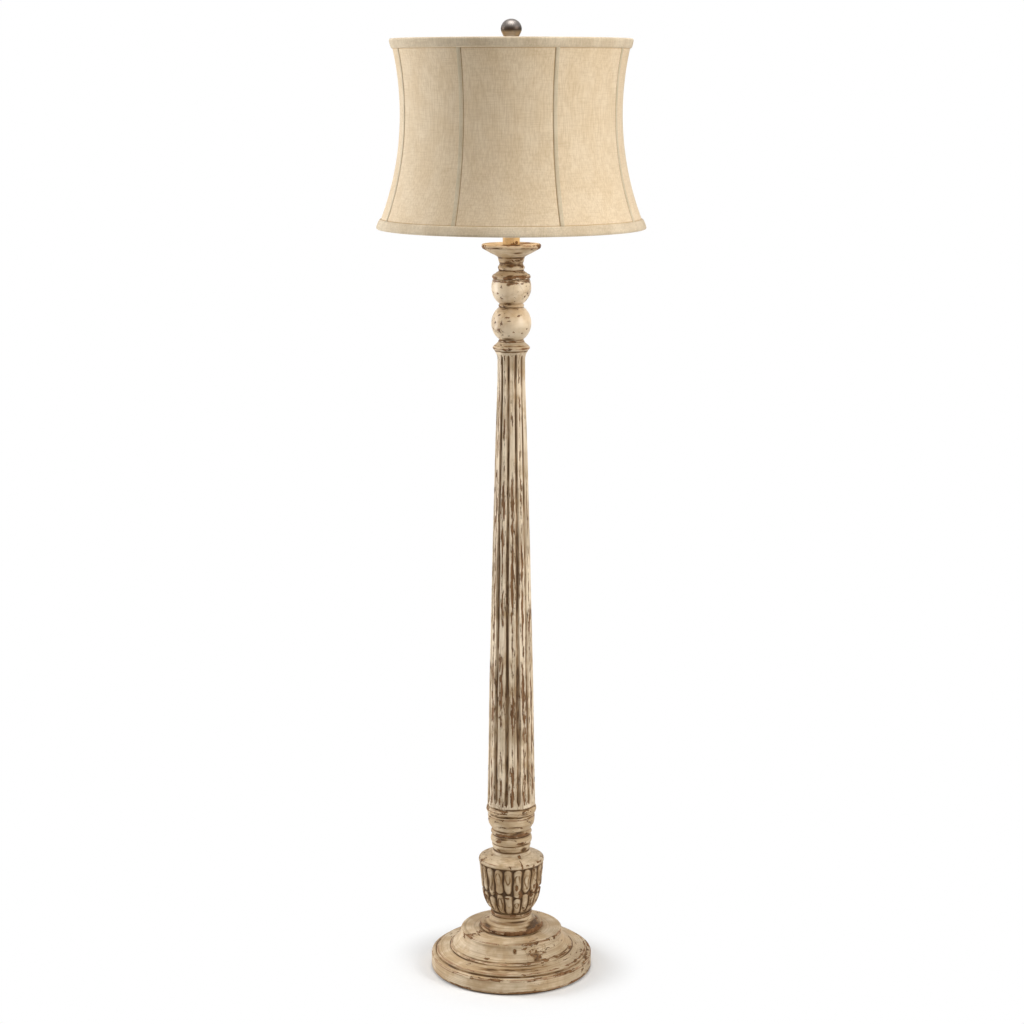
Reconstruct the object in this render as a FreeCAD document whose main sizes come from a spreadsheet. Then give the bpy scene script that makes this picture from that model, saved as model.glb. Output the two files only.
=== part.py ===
import FreeCAD, Part
import math
import os
import types

import Sketcher

# Floor lamp: a turned and carved wooden column on a weighted base, with a
# socket, a detachable harp and a panelled fabric shade. The origin is on the
# floor under the lamp's axis, +Z is up and -Y is the front. Lengths are in
# millimetres and angles in degrees.

document = FreeCAD.newDocument("floor_lamp")
sheet = document.addObject("Spreadsheet::Sheet", "Sizes")
size = types.SimpleNamespace()
nodes = []
FULL_TURN = 360.0
QUARTER_TURN = 90.0
HALF_SHARE = 0.5
CHORD_STEP_SHARE = 0.04
WIRE_SIDES = 6
NUT_SIDES = 6


class Size:
    """A length: its value, and the formula on the sheet that gives it."""

    def __init__(self, value, text):
        self.value = value
        self.text = text

    def __add__(self, other):
        return Size(self.value + other.value, f"({self.text} + {other.text})")

    def __sub__(self, other):
        return Size(self.value - other.value, f"({self.text} - {other.text})")

    def __mul__(self, other):
        if isinstance(other, Size):
            return Size(self.value * other.value, f"({self.text} * {other.text})")
        return Size(self.value * other, f"({self.text} * {other:.9f})")

    def __neg__(self):
        return self * -1


NOTHING = Size(0.0, "0")


def enter(rows):
    """Write named sizes on the sheet and keep them by name."""
    used = len(vars(size))
    for row, (name, value) in enumerate(rows.items(), used + 1):
        sheet.set(f"A{row}", name)
        sheet.set(f"B{row}", str(value))
        sheet.setAlias(f"B{row}", name)
        setattr(size, name, Size(value, f"Sizes.{name}"))


def bind(thing, setting, length):
    """Tie a setting of an object to a formula on the sheet."""
    thing.setExpression(setting, length.text)


def between(low, high, share):
    """The length at a share of the way from one length to another."""
    return low + (high - low) * share


def root(square):
    """The side of a square area."""
    return Size(math.sqrt(square.value), f"sqrt({square.text})")


def polar(radius, angle):
    """A point at a radius and an angle, as two lengths."""
    turn = math.radians(angle)
    return (radius * math.cos(turn), radius * math.sin(turn))


# Bodies, sketches and features

def start_body(name, level=NOTHING, across=NOTHING, along=NOTHING):
    """A new piece whose own zero stands at a place in the lamp."""
    body = document.addObject("PartDesign::Body", name)
    body.Label = name
    body.AllowCompound = True
    body.Placement.Base = FreeCAD.Vector(across.value, along.value, level.value)
    bind(body, "Placement.Base.x", across)
    bind(body, "Placement.Base.y", along)
    bind(body, "Placement.Base.z", level)
    nodes.append(body)
    return body


def origin_part(body, role):
    """One of a piece's own planes or axes."""
    return next(part for part in body.Origin.OriginFeatures if part.Role == role)


def start_sketch(body, role, offset=NOTHING):
    """A sketch on one of the piece's planes, or at an offset from it."""
    sketch = body.newObject("Sketcher::SketchObject", f"{body.Name}_sketch")
    sketch.AttachmentSupport = [(origin_part(body, role), "")]
    sketch.MapMode = "FlatFace"
    sketch.AttachmentOffset.Base = FreeCAD.Vector(0, 0, offset.value)
    bind(sketch, "AttachmentOffset.Base.z", offset)
    return sketch


def held(edge, end, place):
    """The rules that fix a point of a sketch at two lengths from its origin."""
    rules = []
    for kind, axis, length in (("DistanceX", -2, place[0]), ("DistanceY", -1, place[1])):
        if length.text == NOTHING.text:
            rules.append((Sketcher.Constraint("PointOnObject", edge, end, axis), None))
        else:
            rule = Sketcher.Constraint(kind, -1, 1, edge, end, length.value)
            rules.append((rule, length))
    return rules


def fix(sketch, rules):
    """Add rules to a sketch in one go, and bind each that carries a length."""
    first = sketch.ConstraintCount
    sketch.addConstraint([rule for rule, length in rules])
    for index, (rule, length) in enumerate(rules, first):
        if length:
            bind(sketch, f"Constraints[{index}]", length)


def spot(place):
    """A point of a sketch as a vector."""
    return FreeCAD.Vector(place[0].value, place[1].value, 0)


def turns_left(start, middle, finish):
    """Whether three points run anticlockwise."""
    return (middle - start).cross(finish - start).z > 0


def draw_outline(sketch, outline):
    """Close an outline: a row of two lengths is a corner that a line leads to,
    and a row of four is a point on an arc and the corner that the arc leads to."""
    count = len(outline)
    edges = []
    ends = []
    for index, row in enumerate(outline):
        after = outline[(index + 1) % count]
        start = spot(row[-2:])
        finish = spot(after[-2:])
        if len(after) == 4:
            middle = spot(after[:2])
            edges.append(Part.Arc(start, middle, finish))
            ends.append((1, 2) if turns_left(start, middle, finish) else (2, 1))
        else:
            edges.append(Part.LineSegment(start, finish))
            ends.append((1, 2))
    sketch.addGeometry(edges, False)
    rules = []
    for index, row in enumerate(outline):
        after = (index + 1) % count
        rules.extend(held(index, ends[index][0], row[-2:]))
        rules.append((Sketcher.Constraint(
            "Coincident", index, ends[index][1], after, ends[after][0]), None))
        if len(outline[after]) == 4:
            point = sketch.addGeometry(Part.Point(spot(outline[after][:2])), True)
            rules.extend(held(point, 1, outline[after][:2]))
            rules.append((Sketcher.Constraint("PointOnObject", point, 1, index), None))
    fix(sketch, rules)


def draw_circle(sketch, centre, radius):
    """A circle of a bound radius about a held centre."""
    circle = Part.Circle(spot(centre), FreeCAD.Vector(0, 0, 1), radius.value)
    index = sketch.addGeometry(circle)
    rule = Sketcher.Constraint("Radius", index, radius.value)
    fix(sketch, held(index, 3, centre) + [(rule, radius)])


def chord_count(start, middle, finish):
    """How many chords an arc takes to stay within the allowed sag."""
    first = middle - start
    second = finish - middle
    bend = first.getAngle(second)
    radius = (finish - start).Length / (2 * math.sin(bend))
    step = 2 * math.acos(1 - min(size.chord_sag.value / radius, CHORD_STEP_SHARE))
    return max(2, math.ceil(2 * bend / step))


def arc_points(start, middle, finish, steps=None):
    """Places evenly along the arc through three places, each one worked out as
    a blend of the three, up to and with the last."""
    ends = [spot(start), spot(middle), spot(finish)]
    first = ends[0] - ends[1]
    last = ends[2] - ends[1]
    facing = first.cross(last)
    lean = last * first.dot(first) - first * last.dot(last)
    centre = ends[1] + facing.cross(lean) * (-HALF_SHARE / facing.dot(facing))
    spoke = ends[0] - centre
    sweep_angle = 2 * (math.pi - first.getAngle(last)) * math.copysign(1, -facing.z)
    steps = steps or chord_count(*ends)
    places = []
    for step in range(1, steps):
        angle = math.degrees(sweep_angle) * step / steps
        point = centre + FreeCAD.Rotation(FreeCAD.Vector(0, 0, 1), angle).multVec(spoke)
        offset = point - ends[1]
        first_share = offset.cross(last).z / facing.z
        last_share = first.cross(offset).z / facing.z
        places.append(tuple(
            middle[axis]
            + (start[axis] - middle[axis]) * first_share
            + (finish[axis] - middle[axis]) * last_share
            for axis in (0, 1)))
    return places + [finish]


def with_chords(outline, steps=None):
    """The outline with each of its arcs drawn as chords."""
    places = []
    for index, row in enumerate(outline):
        if len(row) == 4:
            places.extend(arc_points(outline[index - 1][-2:], row[:2], row[-2:], steps))
        else:
            places.append(row)
    return places


def draw_wire(sketch, centre, radius):
    """The six-sided section of a bent wire, about a centre."""
    draw_outline(sketch, [
        (centre[0] + corner[0], centre[1] + corner[1]) for corner in polygon((radius,), WIRE_SIDES)])


def box_outline(low, high):
    """The four corners of an upright rectangle."""
    return [(low[0], low[1]), (high[0], low[1]), (high[0], high[1]), (low[0], high[1])]


def turn_sketch(body, sketch, angle=FULL_TURN):
    """Turn a sketch about the piece's upright axis."""
    feature = body.newObject("PartDesign::Revolution", f"{body.Name}_turning")
    feature.Profile = sketch
    feature.ReferenceAxis = (sketch, ["V_Axis"])
    feature.Angle = angle
    feature.Midplane = angle < FULL_TURN
    return feature


def turn(body, outline, angle=FULL_TURN):
    """Turn an outline about the piece's upright axis."""
    sketch = start_sketch(body, "XZ_Plane")
    draw_outline(sketch, with_chords(outline))
    return turn_sketch(body, sketch, angle)


def extrude(body, kind, sketch, length, back=False, midplane=False):
    """Pad or pocket a sketch by a bound length."""
    feature = body.newObject(f"PartDesign::{kind}", f"{body.Name}_{kind.lower()}")
    feature.Profile = sketch
    feature.Length = length.value
    bind(feature, "Length", length)
    feature.Reversed = back
    feature.Midplane = midplane
    return feature


def drill(body, radius, depth, centre=(NOTHING, NOTHING), level=NOTHING):
    """Pocket a round hole upwards from a level of the piece."""
    sketch = start_sketch(body, "XY_Plane", level)
    draw_circle(sketch, centre, radius)
    return extrude(body, "Pocket", sketch, depth, back=True)


def repeat_round(body, features, count):
    """Repeat features evenly about the piece's upright axis."""
    pattern = body.newObject("PartDesign::PolarPattern", f"{body.Name}_pattern")
    pattern.Originals = features
    pattern.Axis = (origin_part(body, "Z_Axis"), [""])
    pattern.Angle = FULL_TURN
    pattern.Occurrences = int(count.value)
    bind(pattern, "Occurrences", count)
    body.Tip = pattern
    return pattern


def loft(body, sections):
    """Join sections by straight rulings."""
    feature = body.newObject("PartDesign::AdditiveLoft", f"{body.Name}_loft")
    feature.Profile = sections[0]
    feature.Sections = sections[1:]
    feature.Ruled = True
    return feature


def shaped(radius, height, shares, bore):
    """The outline of a bored turning, in shares of its radius and height."""
    outline = [(bore, height * shares[0][-1])]
    for row in shares:
        lengths = (radius, height) * (len(row) // 2)
        outline.append(tuple(length * share for length, share in zip(lengths, row)))
    outline.append((bore, height * shares[-1][-1]))
    return outline


def turning(name, level, radius, height, shares, bore):
    """A piece turned from one outline of shares."""
    body = start_body(name, level)
    turn(body, shaped(radius, height, shares, bore))
    return body


def tube(name, level, radius, bore, height):
    """A plain tube or washer."""
    body = start_body(name, level)
    turn(body, box_outline((bore, NOTHING), (radius, height)))
    return body


def polygon(radii, count, first_angle=0.0):
    """Corners evenly round a centre, with the radii taken in turn."""
    return [polar(radii[index % len(radii)], first_angle + FULL_TURN * index / count)
            for index in range(count)]


def flat_piece(name, level, outline, bore, height):
    """A nut or washer cut from plate: an outline with a hole."""
    body = start_body(name, level)
    sketch = start_sketch(body, "XY_Plane")
    draw_outline(sketch, outline)
    extrude(body, "Pad", sketch, height)
    drill(body, bore, height)
    return body


# Base: a turned disc in two steps, hollow below for its weight
enter({
    "felt_thickness": 2.0,
    "felt_setback": 5.0,
    "base_radius": 142.0,
    "base_height": 71.0,
    "recess_radius": 94.0,
    "recess_depth": 22.0,
    "pipe_radius": 5.0,
    "pipe_wall": 1.5,
    "pipe_clearance": 0.6,
    "thread_clearance": 0.05,
    "chord_sag": 0.25,
})
base_level = size.felt_thickness
bore = size.pipe_radius + size.pipe_clearance
thread_bore = size.pipe_radius + size.thread_clearance

felt_pad = start_body("felt_pad")
felt_sketch = start_sketch(felt_pad, "XY_Plane")
draw_circle(felt_sketch, (NOTHING, NOTHING), size.base_radius - size.felt_setback)
extrude(felt_pad, "Pad", felt_sketch, size.felt_thickness)

base_shares = [
    (0.985, 0.0),
    (1.0, 0.03),
    (1.0, 0.31),
    (0.995, 0.35, 0.975, 0.37),
    (0.945, 0.37),
    (0.940, 0.42, 0.915, 0.45),
    (0.765, 0.505),
    (0.765, 0.56, 0.735, 0.59),
    (0.660, 0.73, 0.622, 0.92),
    (0.628, 0.96, 0.610, 0.975),
    (0.420, 1.0),
]
base_disc = turning("base_disc", base_level, size.base_radius, size.base_height, base_shares, bore)
drill(base_disc, size.recess_radius, size.recess_depth)

# Cord inlet: a bushing in a spot-faced hole at the back of the rim
enter({
    "inlet_level": 13.0,
    "inlet_bore": 3.5,
    "inlet_wall": 1.1,
    "inlet_clearance": 0.1,
    "inlet_length": 22.0,
    "inlet_flange_radius": 7.4,
    "inlet_flange_thickness": 2.2,
    "spot_face_depth": 2.6,
    "overrun": 3.0,
})
inlet_height = size.inlet_level - base_level
inlet_seat = size.base_radius - size.spot_face_depth
for radius, offset, length in (
    (size.inlet_bore + size.inlet_wall + size.inlet_clearance, NOTHING, size.base_radius),
    (size.inlet_flange_radius + size.inlet_clearance, -inlet_seat, size.spot_face_depth + size.overrun),
):
    hole_sketch = start_sketch(base_disc, "XZ_Plane", offset)
    draw_circle(hole_sketch, (NOTHING, inlet_height), radius)
    extrude(base_disc, "Pocket", hole_sketch, length)

cord_bushing = start_body("cord_bushing", size.inlet_level, along=inlet_seat)
cord_bushing.Placement.Rotation = FreeCAD.Rotation(FreeCAD.Vector(1, 0, 0), -QUARTER_TURN)
bushing_outer = size.inlet_bore + size.inlet_wall
turn(cord_bushing, [
    (size.inlet_bore, -size.inlet_length),
    (bushing_outer, -size.inlet_length),
    (bushing_outer, NOTHING),
    (size.inlet_flange_radius, NOTHING),
    (size.inlet_flange_radius, size.inlet_flange_thickness * HALF_SHARE),
    (bushing_outer, size.inlet_flange_thickness),
    (size.inlet_bore, size.inlet_flange_thickness),
])

# Weight: a slotted cast-iron ring held against the recess by three screws
enter({
    "weight_clearance": 2.0,
    "weight_bore": 30.0,
    "weight_thickness": 17.0,
    "weight_slot_width": 12.0,
    "screw_circle_radius": 70.0,
    "screw_count": 3,
    "screw_radius": 2.0,
    "screw_clearance": 0.4,
    "screw_head_radius": 4.2,
    "screw_head_height": 2.4,
    "screw_grip": 11.0,
})
SCREW_ANGLE = 30.0
recess_top = base_level + size.recess_depth
weight_level = recess_top - size.weight_thickness
weight_radius = size.recess_radius - size.weight_clearance
first_screw = polar(size.screw_circle_radius, SCREW_ANGLE)

pilot = drill(base_disc, size.screw_radius + size.thread_clearance, size.screw_grip + size.overrun,
              first_screw, size.recess_depth)
repeat_round(base_disc, [pilot], size.screw_count)

base_weight = tube("base_weight", weight_level, weight_radius, size.weight_bore, size.weight_thickness)
slot_half = size.weight_slot_width * HALF_SHARE
slot_sketch = start_sketch(base_weight, "XY_Plane")
draw_outline(slot_sketch, box_outline((-slot_half, NOTHING), (slot_half, weight_radius + size.overrun)))
extrude(base_weight, "Pocket", slot_sketch, size.weight_thickness, back=True)
screw_hole = drill(base_weight, size.screw_radius + size.screw_clearance, size.weight_thickness, first_screw)
repeat_round(base_weight, [screw_hole], size.screw_count)

weight_screws = start_body("weight_screws", weight_level - size.screw_head_height)
screw_parts = []
for radius, foot, length in (
    (size.screw_head_radius, NOTHING, size.screw_head_height),
    (size.screw_radius, size.screw_head_height, size.weight_thickness + size.screw_grip),
):
    screw_sketch = start_sketch(weight_screws, "XY_Plane", foot)
    draw_circle(screw_sketch, first_screw, radius)
    screw_parts.append(extrude(weight_screws, "Pad", screw_sketch, length))
repeat_round(weight_screws, screw_parts, size.screw_count)

# Clamp below the base: washer, toothed washer and nut on the pipe
enter({
    "washer_radius": 19.0,
    "washer_thickness": 2.0,
    "tooth_radius": 10.0,
    "tooth_depth": 1.6,
    "tooth_count": 12,
    "toothed_thickness": 1.0,
    "nut_corner_radius": 9.2,
    "nut_height": 6.0,
    "pipe_stickout": 3.0,
})
washer_level = recess_top - size.washer_thickness
toothed_level = washer_level - size.toothed_thickness
nut_level = toothed_level - size.nut_height
tube("bottom_washer", washer_level, size.washer_radius, thread_bore, size.washer_thickness)
tooth_places = 2 * int(size.tooth_count.value)
flat_piece("lock_washer", toothed_level,
           polygon((size.tooth_radius, size.tooth_radius - size.tooth_depth), tooth_places),
           thread_bore, size.toothed_thickness)
flat_piece("bottom_nut", nut_level, polygon((size.nut_corner_radius,), NUT_SIDES),
           thread_bore, size.nut_height)

# Turned stack: each piece stands on the one before it
enter({
    "base_collar_radius": 55.2,
    "base_collar_height": 32.6,
    "urn_height": 112.4,
    "spool_radius": 41.3,
    "spool_height": 68.0,
    "foot_ring_radius": 44.0,
    "foot_ring_height": 13.0,
    "column_height": 802.8,
    "column_collar_radius": 31.3,
    "column_collar_height": 18.2,
    "lower_ball_radius": 34.1,
    "lower_ball_height": 55.0,
    "ball_spacer_radius": 21.9,
    "ball_spacer_height": 6.0,
    "upper_ball_radius": 33.9,
    "upper_ball_height": 41.6,
    "ball_cap_radius": 32.6,
    "ball_cap_height": 14.3,
    "neck_bead_radius": 22.2,
    "neck_bead_height": 11.7,
    "drip_plate_radius": 50.0,
    "drip_plate_height": 32.4,
    "coupling_radius": 7.5,
    "coupling_length": 24.0,
    "coupling_clearance": 1.0,
})
collar_level = base_level + size.base_height
urn_level = collar_level + size.base_collar_height
spool_level = urn_level + size.urn_height
ring_level = spool_level + size.spool_height
column_level = ring_level + size.foot_ring_height
column_collar_level = column_level + size.column_height
lower_ball_level = column_collar_level + size.column_collar_height
spacer_level = lower_ball_level + size.lower_ball_height
upper_ball_level = spacer_level + size.ball_spacer_height
cap_level = upper_ball_level + size.upper_ball_height
neck_level = cap_level + size.ball_cap_height
plate_level = neck_level + size.neck_bead_height

base_collar_shares = [
    (0.955, 0.0),
    (1.0, 0.06),
    (1.0, 0.20),
    (0.99, 0.26, 0.965, 0.28),
    (0.76, 0.45, 0.655, 0.80),
    (0.675, 0.88, 0.650, 0.95),
    (0.600, 1.0),
]
turning("base_collar", collar_level, size.base_collar_radius, size.base_collar_height,
        base_collar_shares, bore)

# Coupling: it joins the two pipes inside the ring, where the lamp parts in two
coupling_level = ring_level + (size.foot_ring_height - size.coupling_length) * HALF_SHARE
coupling_bore = size.coupling_radius + size.coupling_clearance
counterbore_depth = (size.coupling_length - size.foot_ring_height) * HALF_SHARE + size.coupling_clearance
tube("pipe_coupling", coupling_level, size.coupling_radius, thread_bore, size.coupling_length)

spool_shares = [
    (0.775, 0.0),
    (0.787, 0.05),
    (0.835, 0.12),
    (0.872, 0.26, 0.835, 0.40),
    (0.815, 0.42),
    (0.870, 0.48, 0.800, 0.545),
    (0.945, 0.66, 1.0, 0.84),
    (1.0, 0.95),
    (0.975, 1.0),
]
neck_spool = turning("neck_spool", spool_level, size.spool_radius, size.spool_height, spool_shares, bore)
drill(neck_spool, coupling_bore, counterbore_depth, level=size.spool_height - counterbore_depth)

foot_ring_shares = [
    (0.945, 0.0),
    (1.0, 0.50, 0.950, 1.0),
]
turning("foot_ring", ring_level, size.foot_ring_radius, size.foot_ring_height,
        foot_ring_shares, coupling_bore)


def section_at(body, level, outline):
    """A sketch of a section across a piece at a level."""
    sketch = start_sketch(body, "XY_Plane", level)
    draw_outline(sketch, outline)
    return sketch


def scalloped(radius, mark, valley, count, phase, valley_share):
    """A section with evenly spaced valleys: arcs that dip or swell to the mark
    across each valley, and plain arcs or none between them."""
    pitch = FULL_TURN / count
    half = pitch * valley_share * HALF_SHARE
    outline = []
    for index in range(count):
        middle = phase + pitch * index
        crest = polar(radius, middle - pitch * HALF_SHARE)
        if valley_share < 1.0:
            outline.append(crest + polar(radius, middle - half))
        outline.append(polar(mark, middle) + polar(valley, middle + half))
    return outline


# Urn: two tiers of carved reeds under a lip and a sloping shoulder
enter({
    "urn_lip_radius": 57.3,
    "urn_foot_radius": 33.0,
    "urn_neck_radius": 32.0,
    "reed_count": 20,
})
REED_PHASE = -87.0
REED_CHORDS = 4
REED_WIDTH_SHARE = 1.0
reed_depth_share = 0.055
reed_rows_shares = [
    (0.012, 0.00),
    (0.080, 0.34),
    (0.213, 0.63),
    (0.300, 0.735),
    (0.313, 0.690),
    (0.326, 0.755),
    (0.545, 0.85),
    (0.765, 0.965),
]
urn = start_body("urn", urn_level)
urn_sections = []
for level_share, swell_share in reed_rows_shares:
    reed_radius = between(size.urn_foot_radius, size.urn_lip_radius, swell_share)
    valley_radius = reed_radius * (1.0 - reed_depth_share)
    reeds = scalloped(valley_radius, reed_radius, valley_radius,
                      int(size.reed_count.value), REED_PHASE, REED_WIDTH_SHARE)
    urn_sections.append(section_at(urn, size.urn_height * level_share, with_chords(reeds, REED_CHORDS)))
loft(urn, urn_sections)
foot_top = size.urn_height * reed_rows_shares[0][0]
turn(urn, box_outline((NOTHING, NOTHING), (size.urn_foot_radius, foot_top)))
reed_top = size.urn_height * reed_rows_shares[-1][0]
urn_lip_shares = [
    (0.985, reed_rows_shares[-1][0]),
    (1.0, 0.81),
    (1.0, 0.84),
    (0.965, 0.865),
]
shoulder_reach_share = 0.25
shoulder_rise_share = 0.915
urn_lip = [(size.urn_lip_radius * reach, size.urn_height * rise) for reach, rise in urn_lip_shares]
turn(urn, [
    (NOTHING, reed_top),
    *urn_lip,
    (between(size.urn_neck_radius, size.urn_lip_radius, shoulder_reach_share),
     size.urn_height * shoulder_rise_share, size.urn_neck_radius, size.urn_height),
    (NOTHING, size.urn_height),
])
drill(urn, bore, size.urn_height)

# Fluted column: a tapered shaft with a slight swell, and flutes that run out at both ends
enter({
    "column_foot_radius": 42.1,
    "column_head_radius": 23.7,
    "column_flare_radius": 28.8,
    "column_foot_band": 6.0,
    "flute_count": 12,
})
FLUTE_PHASE = 18.0
FLUTE_WIDTH_SHARE = 0.44
FLUTE_TIP_SHARE = 0.16
flute_depth_share = 0.085
flute_tip_depth_share = 0.006
column_rows_shares = [
    (0.0075, 1.000, FLUTE_TIP_SHARE, flute_tip_depth_share),
    (0.0224, 0.990, FLUTE_WIDTH_SHARE, flute_depth_share),
    (0.280, 0.793, FLUTE_WIDTH_SHARE, flute_depth_share),
    (0.547, 0.511, FLUTE_WIDTH_SHARE, flute_depth_share),
    (0.807, 0.196, FLUTE_WIDTH_SHARE, flute_depth_share),
    (0.935, 0.008, FLUTE_WIDTH_SHARE, flute_depth_share),
    (0.975, 0.000, FLUTE_WIDTH_SHARE, flute_depth_share),
    (0.988, 0.040, FLUTE_TIP_SHARE, flute_tip_depth_share),
]
fluted_column = start_body("fluted_column", column_level)
column_sections = []
for level_share, fullness_share, width_share, depth_share in column_rows_shares:
    shaft_radius = between(size.column_head_radius, size.column_foot_radius, fullness_share)
    flutes = scalloped(shaft_radius, shaft_radius * (1.0 - depth_share), shaft_radius,
                       int(size.flute_count.value), FLUTE_PHASE, width_share)
    column_sections.append(section_at(fluted_column, size.column_height * level_share, flutes))
loft(fluted_column, column_sections)
flute_foot = size.column_height * column_rows_shares[0][0]
flute_head = size.column_height * column_rows_shares[-1][0]
turn(fluted_column, box_outline((NOTHING, NOTHING), (size.column_foot_radius, flute_foot)))
turn(fluted_column, [
    (NOTHING, flute_head),
    (between(size.column_head_radius, size.column_foot_radius, column_rows_shares[-1][1]), flute_head),
    (size.column_flare_radius, size.column_height),
    (NOTHING, size.column_height),
])
drill(fluted_column, bore, size.column_height)
drill(fluted_column, coupling_bore, counterbore_depth)

# Collar, balls and neck above the column
column_collar_shares = [
    (0.920, 0.0),
    (1.0, 0.22, 0.920, 0.44),
    (0.745, 0.75),
    (0.660, 0.82, 0.640, 1.0),
]
turning("column_collar", column_collar_level, size.column_collar_radius, size.column_collar_height,
        column_collar_shares, bore)
lower_ball_shares = [
    (0.590, 0.0),
    (1.0, 0.5, 0.590, 1.0),
]
turning("lower_ball", lower_ball_level, size.lower_ball_radius, size.lower_ball_height,
        lower_ball_shares, bore)
ball_spacer_shares = [
    (0.930, 0.0),
    (1.0, 0.32, 0.930, 0.64),
    (0.915, 1.0),
]
turning("ball_spacer", spacer_level, size.ball_spacer_radius, size.ball_spacer_height,
        ball_spacer_shares, bore)
upper_ball_shares = [
    (0.600, 0.0),
    (1.0, 0.649, 0.903, 1.0),
]
turning("upper_ball", upper_ball_level, size.upper_ball_radius, size.upper_ball_height,
        upper_ball_shares, bore)
ball_cap_shares = [
    (0.945, 0.0),
    (1.0, 0.16, 0.985, 0.33),
    (0.800, 0.63, 0.645, 1.0),
]
turning("ball_cap", cap_level, size.ball_cap_radius, size.ball_cap_height, ball_cap_shares, bore)
neck_bead_shares = [
    (0.930, 0.0),
    (1.0, 0.45, 0.920, 0.90),
    (0.900, 1.0),
]
turning("neck_bead", neck_level, size.neck_bead_radius, size.neck_bead_height, neck_bead_shares, bore)

# Drip plate: a shallow dish on a stem, with its floor below the rim
dish_floor_share = 0.91
drip_plate_shares = [
    (0.400, 0.0),
    (0.455, 0.16, 0.445, 0.33),
    (0.640, 0.50, 0.960, 0.70),
    (1.0, 0.78, 1.0, 0.90),
    (0.985, 1.0),
    (0.930, 1.0),
    (0.860, dish_floor_share),
]
turning("drip_plate", plate_level, size.drip_plate_radius, size.drip_plate_height,
        drip_plate_shares, bore)
dish_level = plate_level + size.drip_plate_height * dish_floor_share

# Candle sleeve, and the washer and nut inside it that clamp the stack
enter({
    "sleeve_radius": 14.4,
    "sleeve_wall": 1.5,
    "sleeve_length": 84.0,
    "stack_washer_radius": 11.5,
    "stack_washer_thickness": 1.5,
    "check_ring_radius": 15.6,
    "check_ring_thickness": 2.5,
})
tube("stack_washer", dish_level, size.stack_washer_radius, thread_bore, size.stack_washer_thickness)
flat_piece("stack_nut", dish_level + size.stack_washer_thickness,
           polygon((size.nut_corner_radius,), NUT_SIDES), thread_bore, size.nut_height)
tube("candle_sleeve", dish_level, size.sleeve_radius, size.sleeve_radius - size.sleeve_wall,
     size.sleeve_length)
ring_seat = dish_level + size.sleeve_length
tube("check_ring", ring_seat, size.check_ring_radius, thread_bore, size.check_ring_thickness)

# Harp saddle: a bent strip with a tongue at the tip of each arm
enter({
    "saddle_half_span": 30.0,
    "saddle_thickness": 1.4,
    "saddle_width": 10.0,
    "saddle_arm_height": 22.0,
    "tongue_width": 5.0,
    "tongue_height": 9.0,
})
saddle_level = ring_seat + size.check_ring_thickness
strip_outer = size.saddle_half_span + size.saddle_thickness * HALF_SHARE
strip_inner = size.saddle_half_span - size.saddle_thickness * HALF_SHARE
harp_saddle = start_body("harp_saddle", saddle_level)
saddle_sketch = start_sketch(harp_saddle, "XZ_Plane")
draw_outline(saddle_sketch, [
    (-strip_outer, NOTHING),
    (strip_outer, NOTHING),
    (strip_outer, size.saddle_arm_height),
    (strip_inner, size.saddle_arm_height),
    (strip_inner, size.saddle_thickness),
    (-strip_inner, size.saddle_thickness),
    (-strip_inner, size.saddle_arm_height),
    (-strip_outer, size.saddle_arm_height),
])
extrude(harp_saddle, "Pad", saddle_sketch, size.saddle_width, midplane=True)
tongue_top = size.saddle_arm_height + size.tongue_height
for near, far in ((strip_inner, strip_outer), (-strip_outer, -strip_inner)):
    tongue_sketch = start_sketch(harp_saddle, "XZ_Plane")
    draw_outline(tongue_sketch, box_outline((near, size.saddle_arm_height), (far, tongue_top)))
    extrude(harp_saddle, "Pad", tongue_sketch, size.tongue_width, midplane=True)
drill(harp_saddle, thread_bore, size.saddle_thickness)

# Socket: cap and shell of thin brass, a liner, an insulator, a screw shell and a contact
enter({
    "cap_neck_radius": 8.5,
    "cap_height": 20.0,
    "cap_wall": 0.7,
    "shell_radius": 16.4,
    "shell_wall": 0.6,
    "shell_height": 56.0,
    "shell_overlap": 5.0,
    "shell_lip": 0.8,
    "shell_clearance": 0.1,
    "liner_wall": 0.6,
    "insulator_radius": 14.2,
    "insulator_height": 27.0,
    "contact_recess_depth": 4.0,
    "screw_shell_wall": 0.4,
    "screw_shell_clearance": 0.3,
    "screw_shell_length": 24.0,
    "bulb_base_radius": 13.0,
    "contact_radius": 4.0,
    "contact_height": 3.0,
    "pipe_entry": 9.0,
})
socket_level = saddle_level + size.saddle_thickness
rim_inner = size.shell_radius + size.shell_clearance
rim_outer = rim_inner + size.cap_wall
cap_floor = size.cap_wall * 2
cap_neck_share = 0.2
cap_swell_share = 0.92
cap_swell_rise_share = 0.42
cap_rim_share = 0.75
socket_cap = start_body("socket_cap", socket_level)
turn(socket_cap, [
    (thread_bore, NOTHING),
    (size.cap_neck_radius, NOTHING),
    (size.cap_neck_radius, size.cap_height * cap_neck_share),
    (rim_outer * cap_swell_share, size.cap_height * cap_swell_rise_share,
     rim_outer, size.cap_height * cap_rim_share),
    (rim_outer, size.cap_height),
    (rim_inner, size.cap_height),
    (rim_inner, size.cap_height * cap_rim_share),
    (rim_outer * cap_swell_share - size.cap_wall, size.cap_height * cap_swell_rise_share + size.cap_wall,
     size.cap_neck_radius - size.cap_wall, size.cap_height * cap_neck_share + size.cap_wall),
    (size.cap_neck_radius - size.cap_wall, cap_floor),
    (thread_bore, cap_floor),
])

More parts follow.
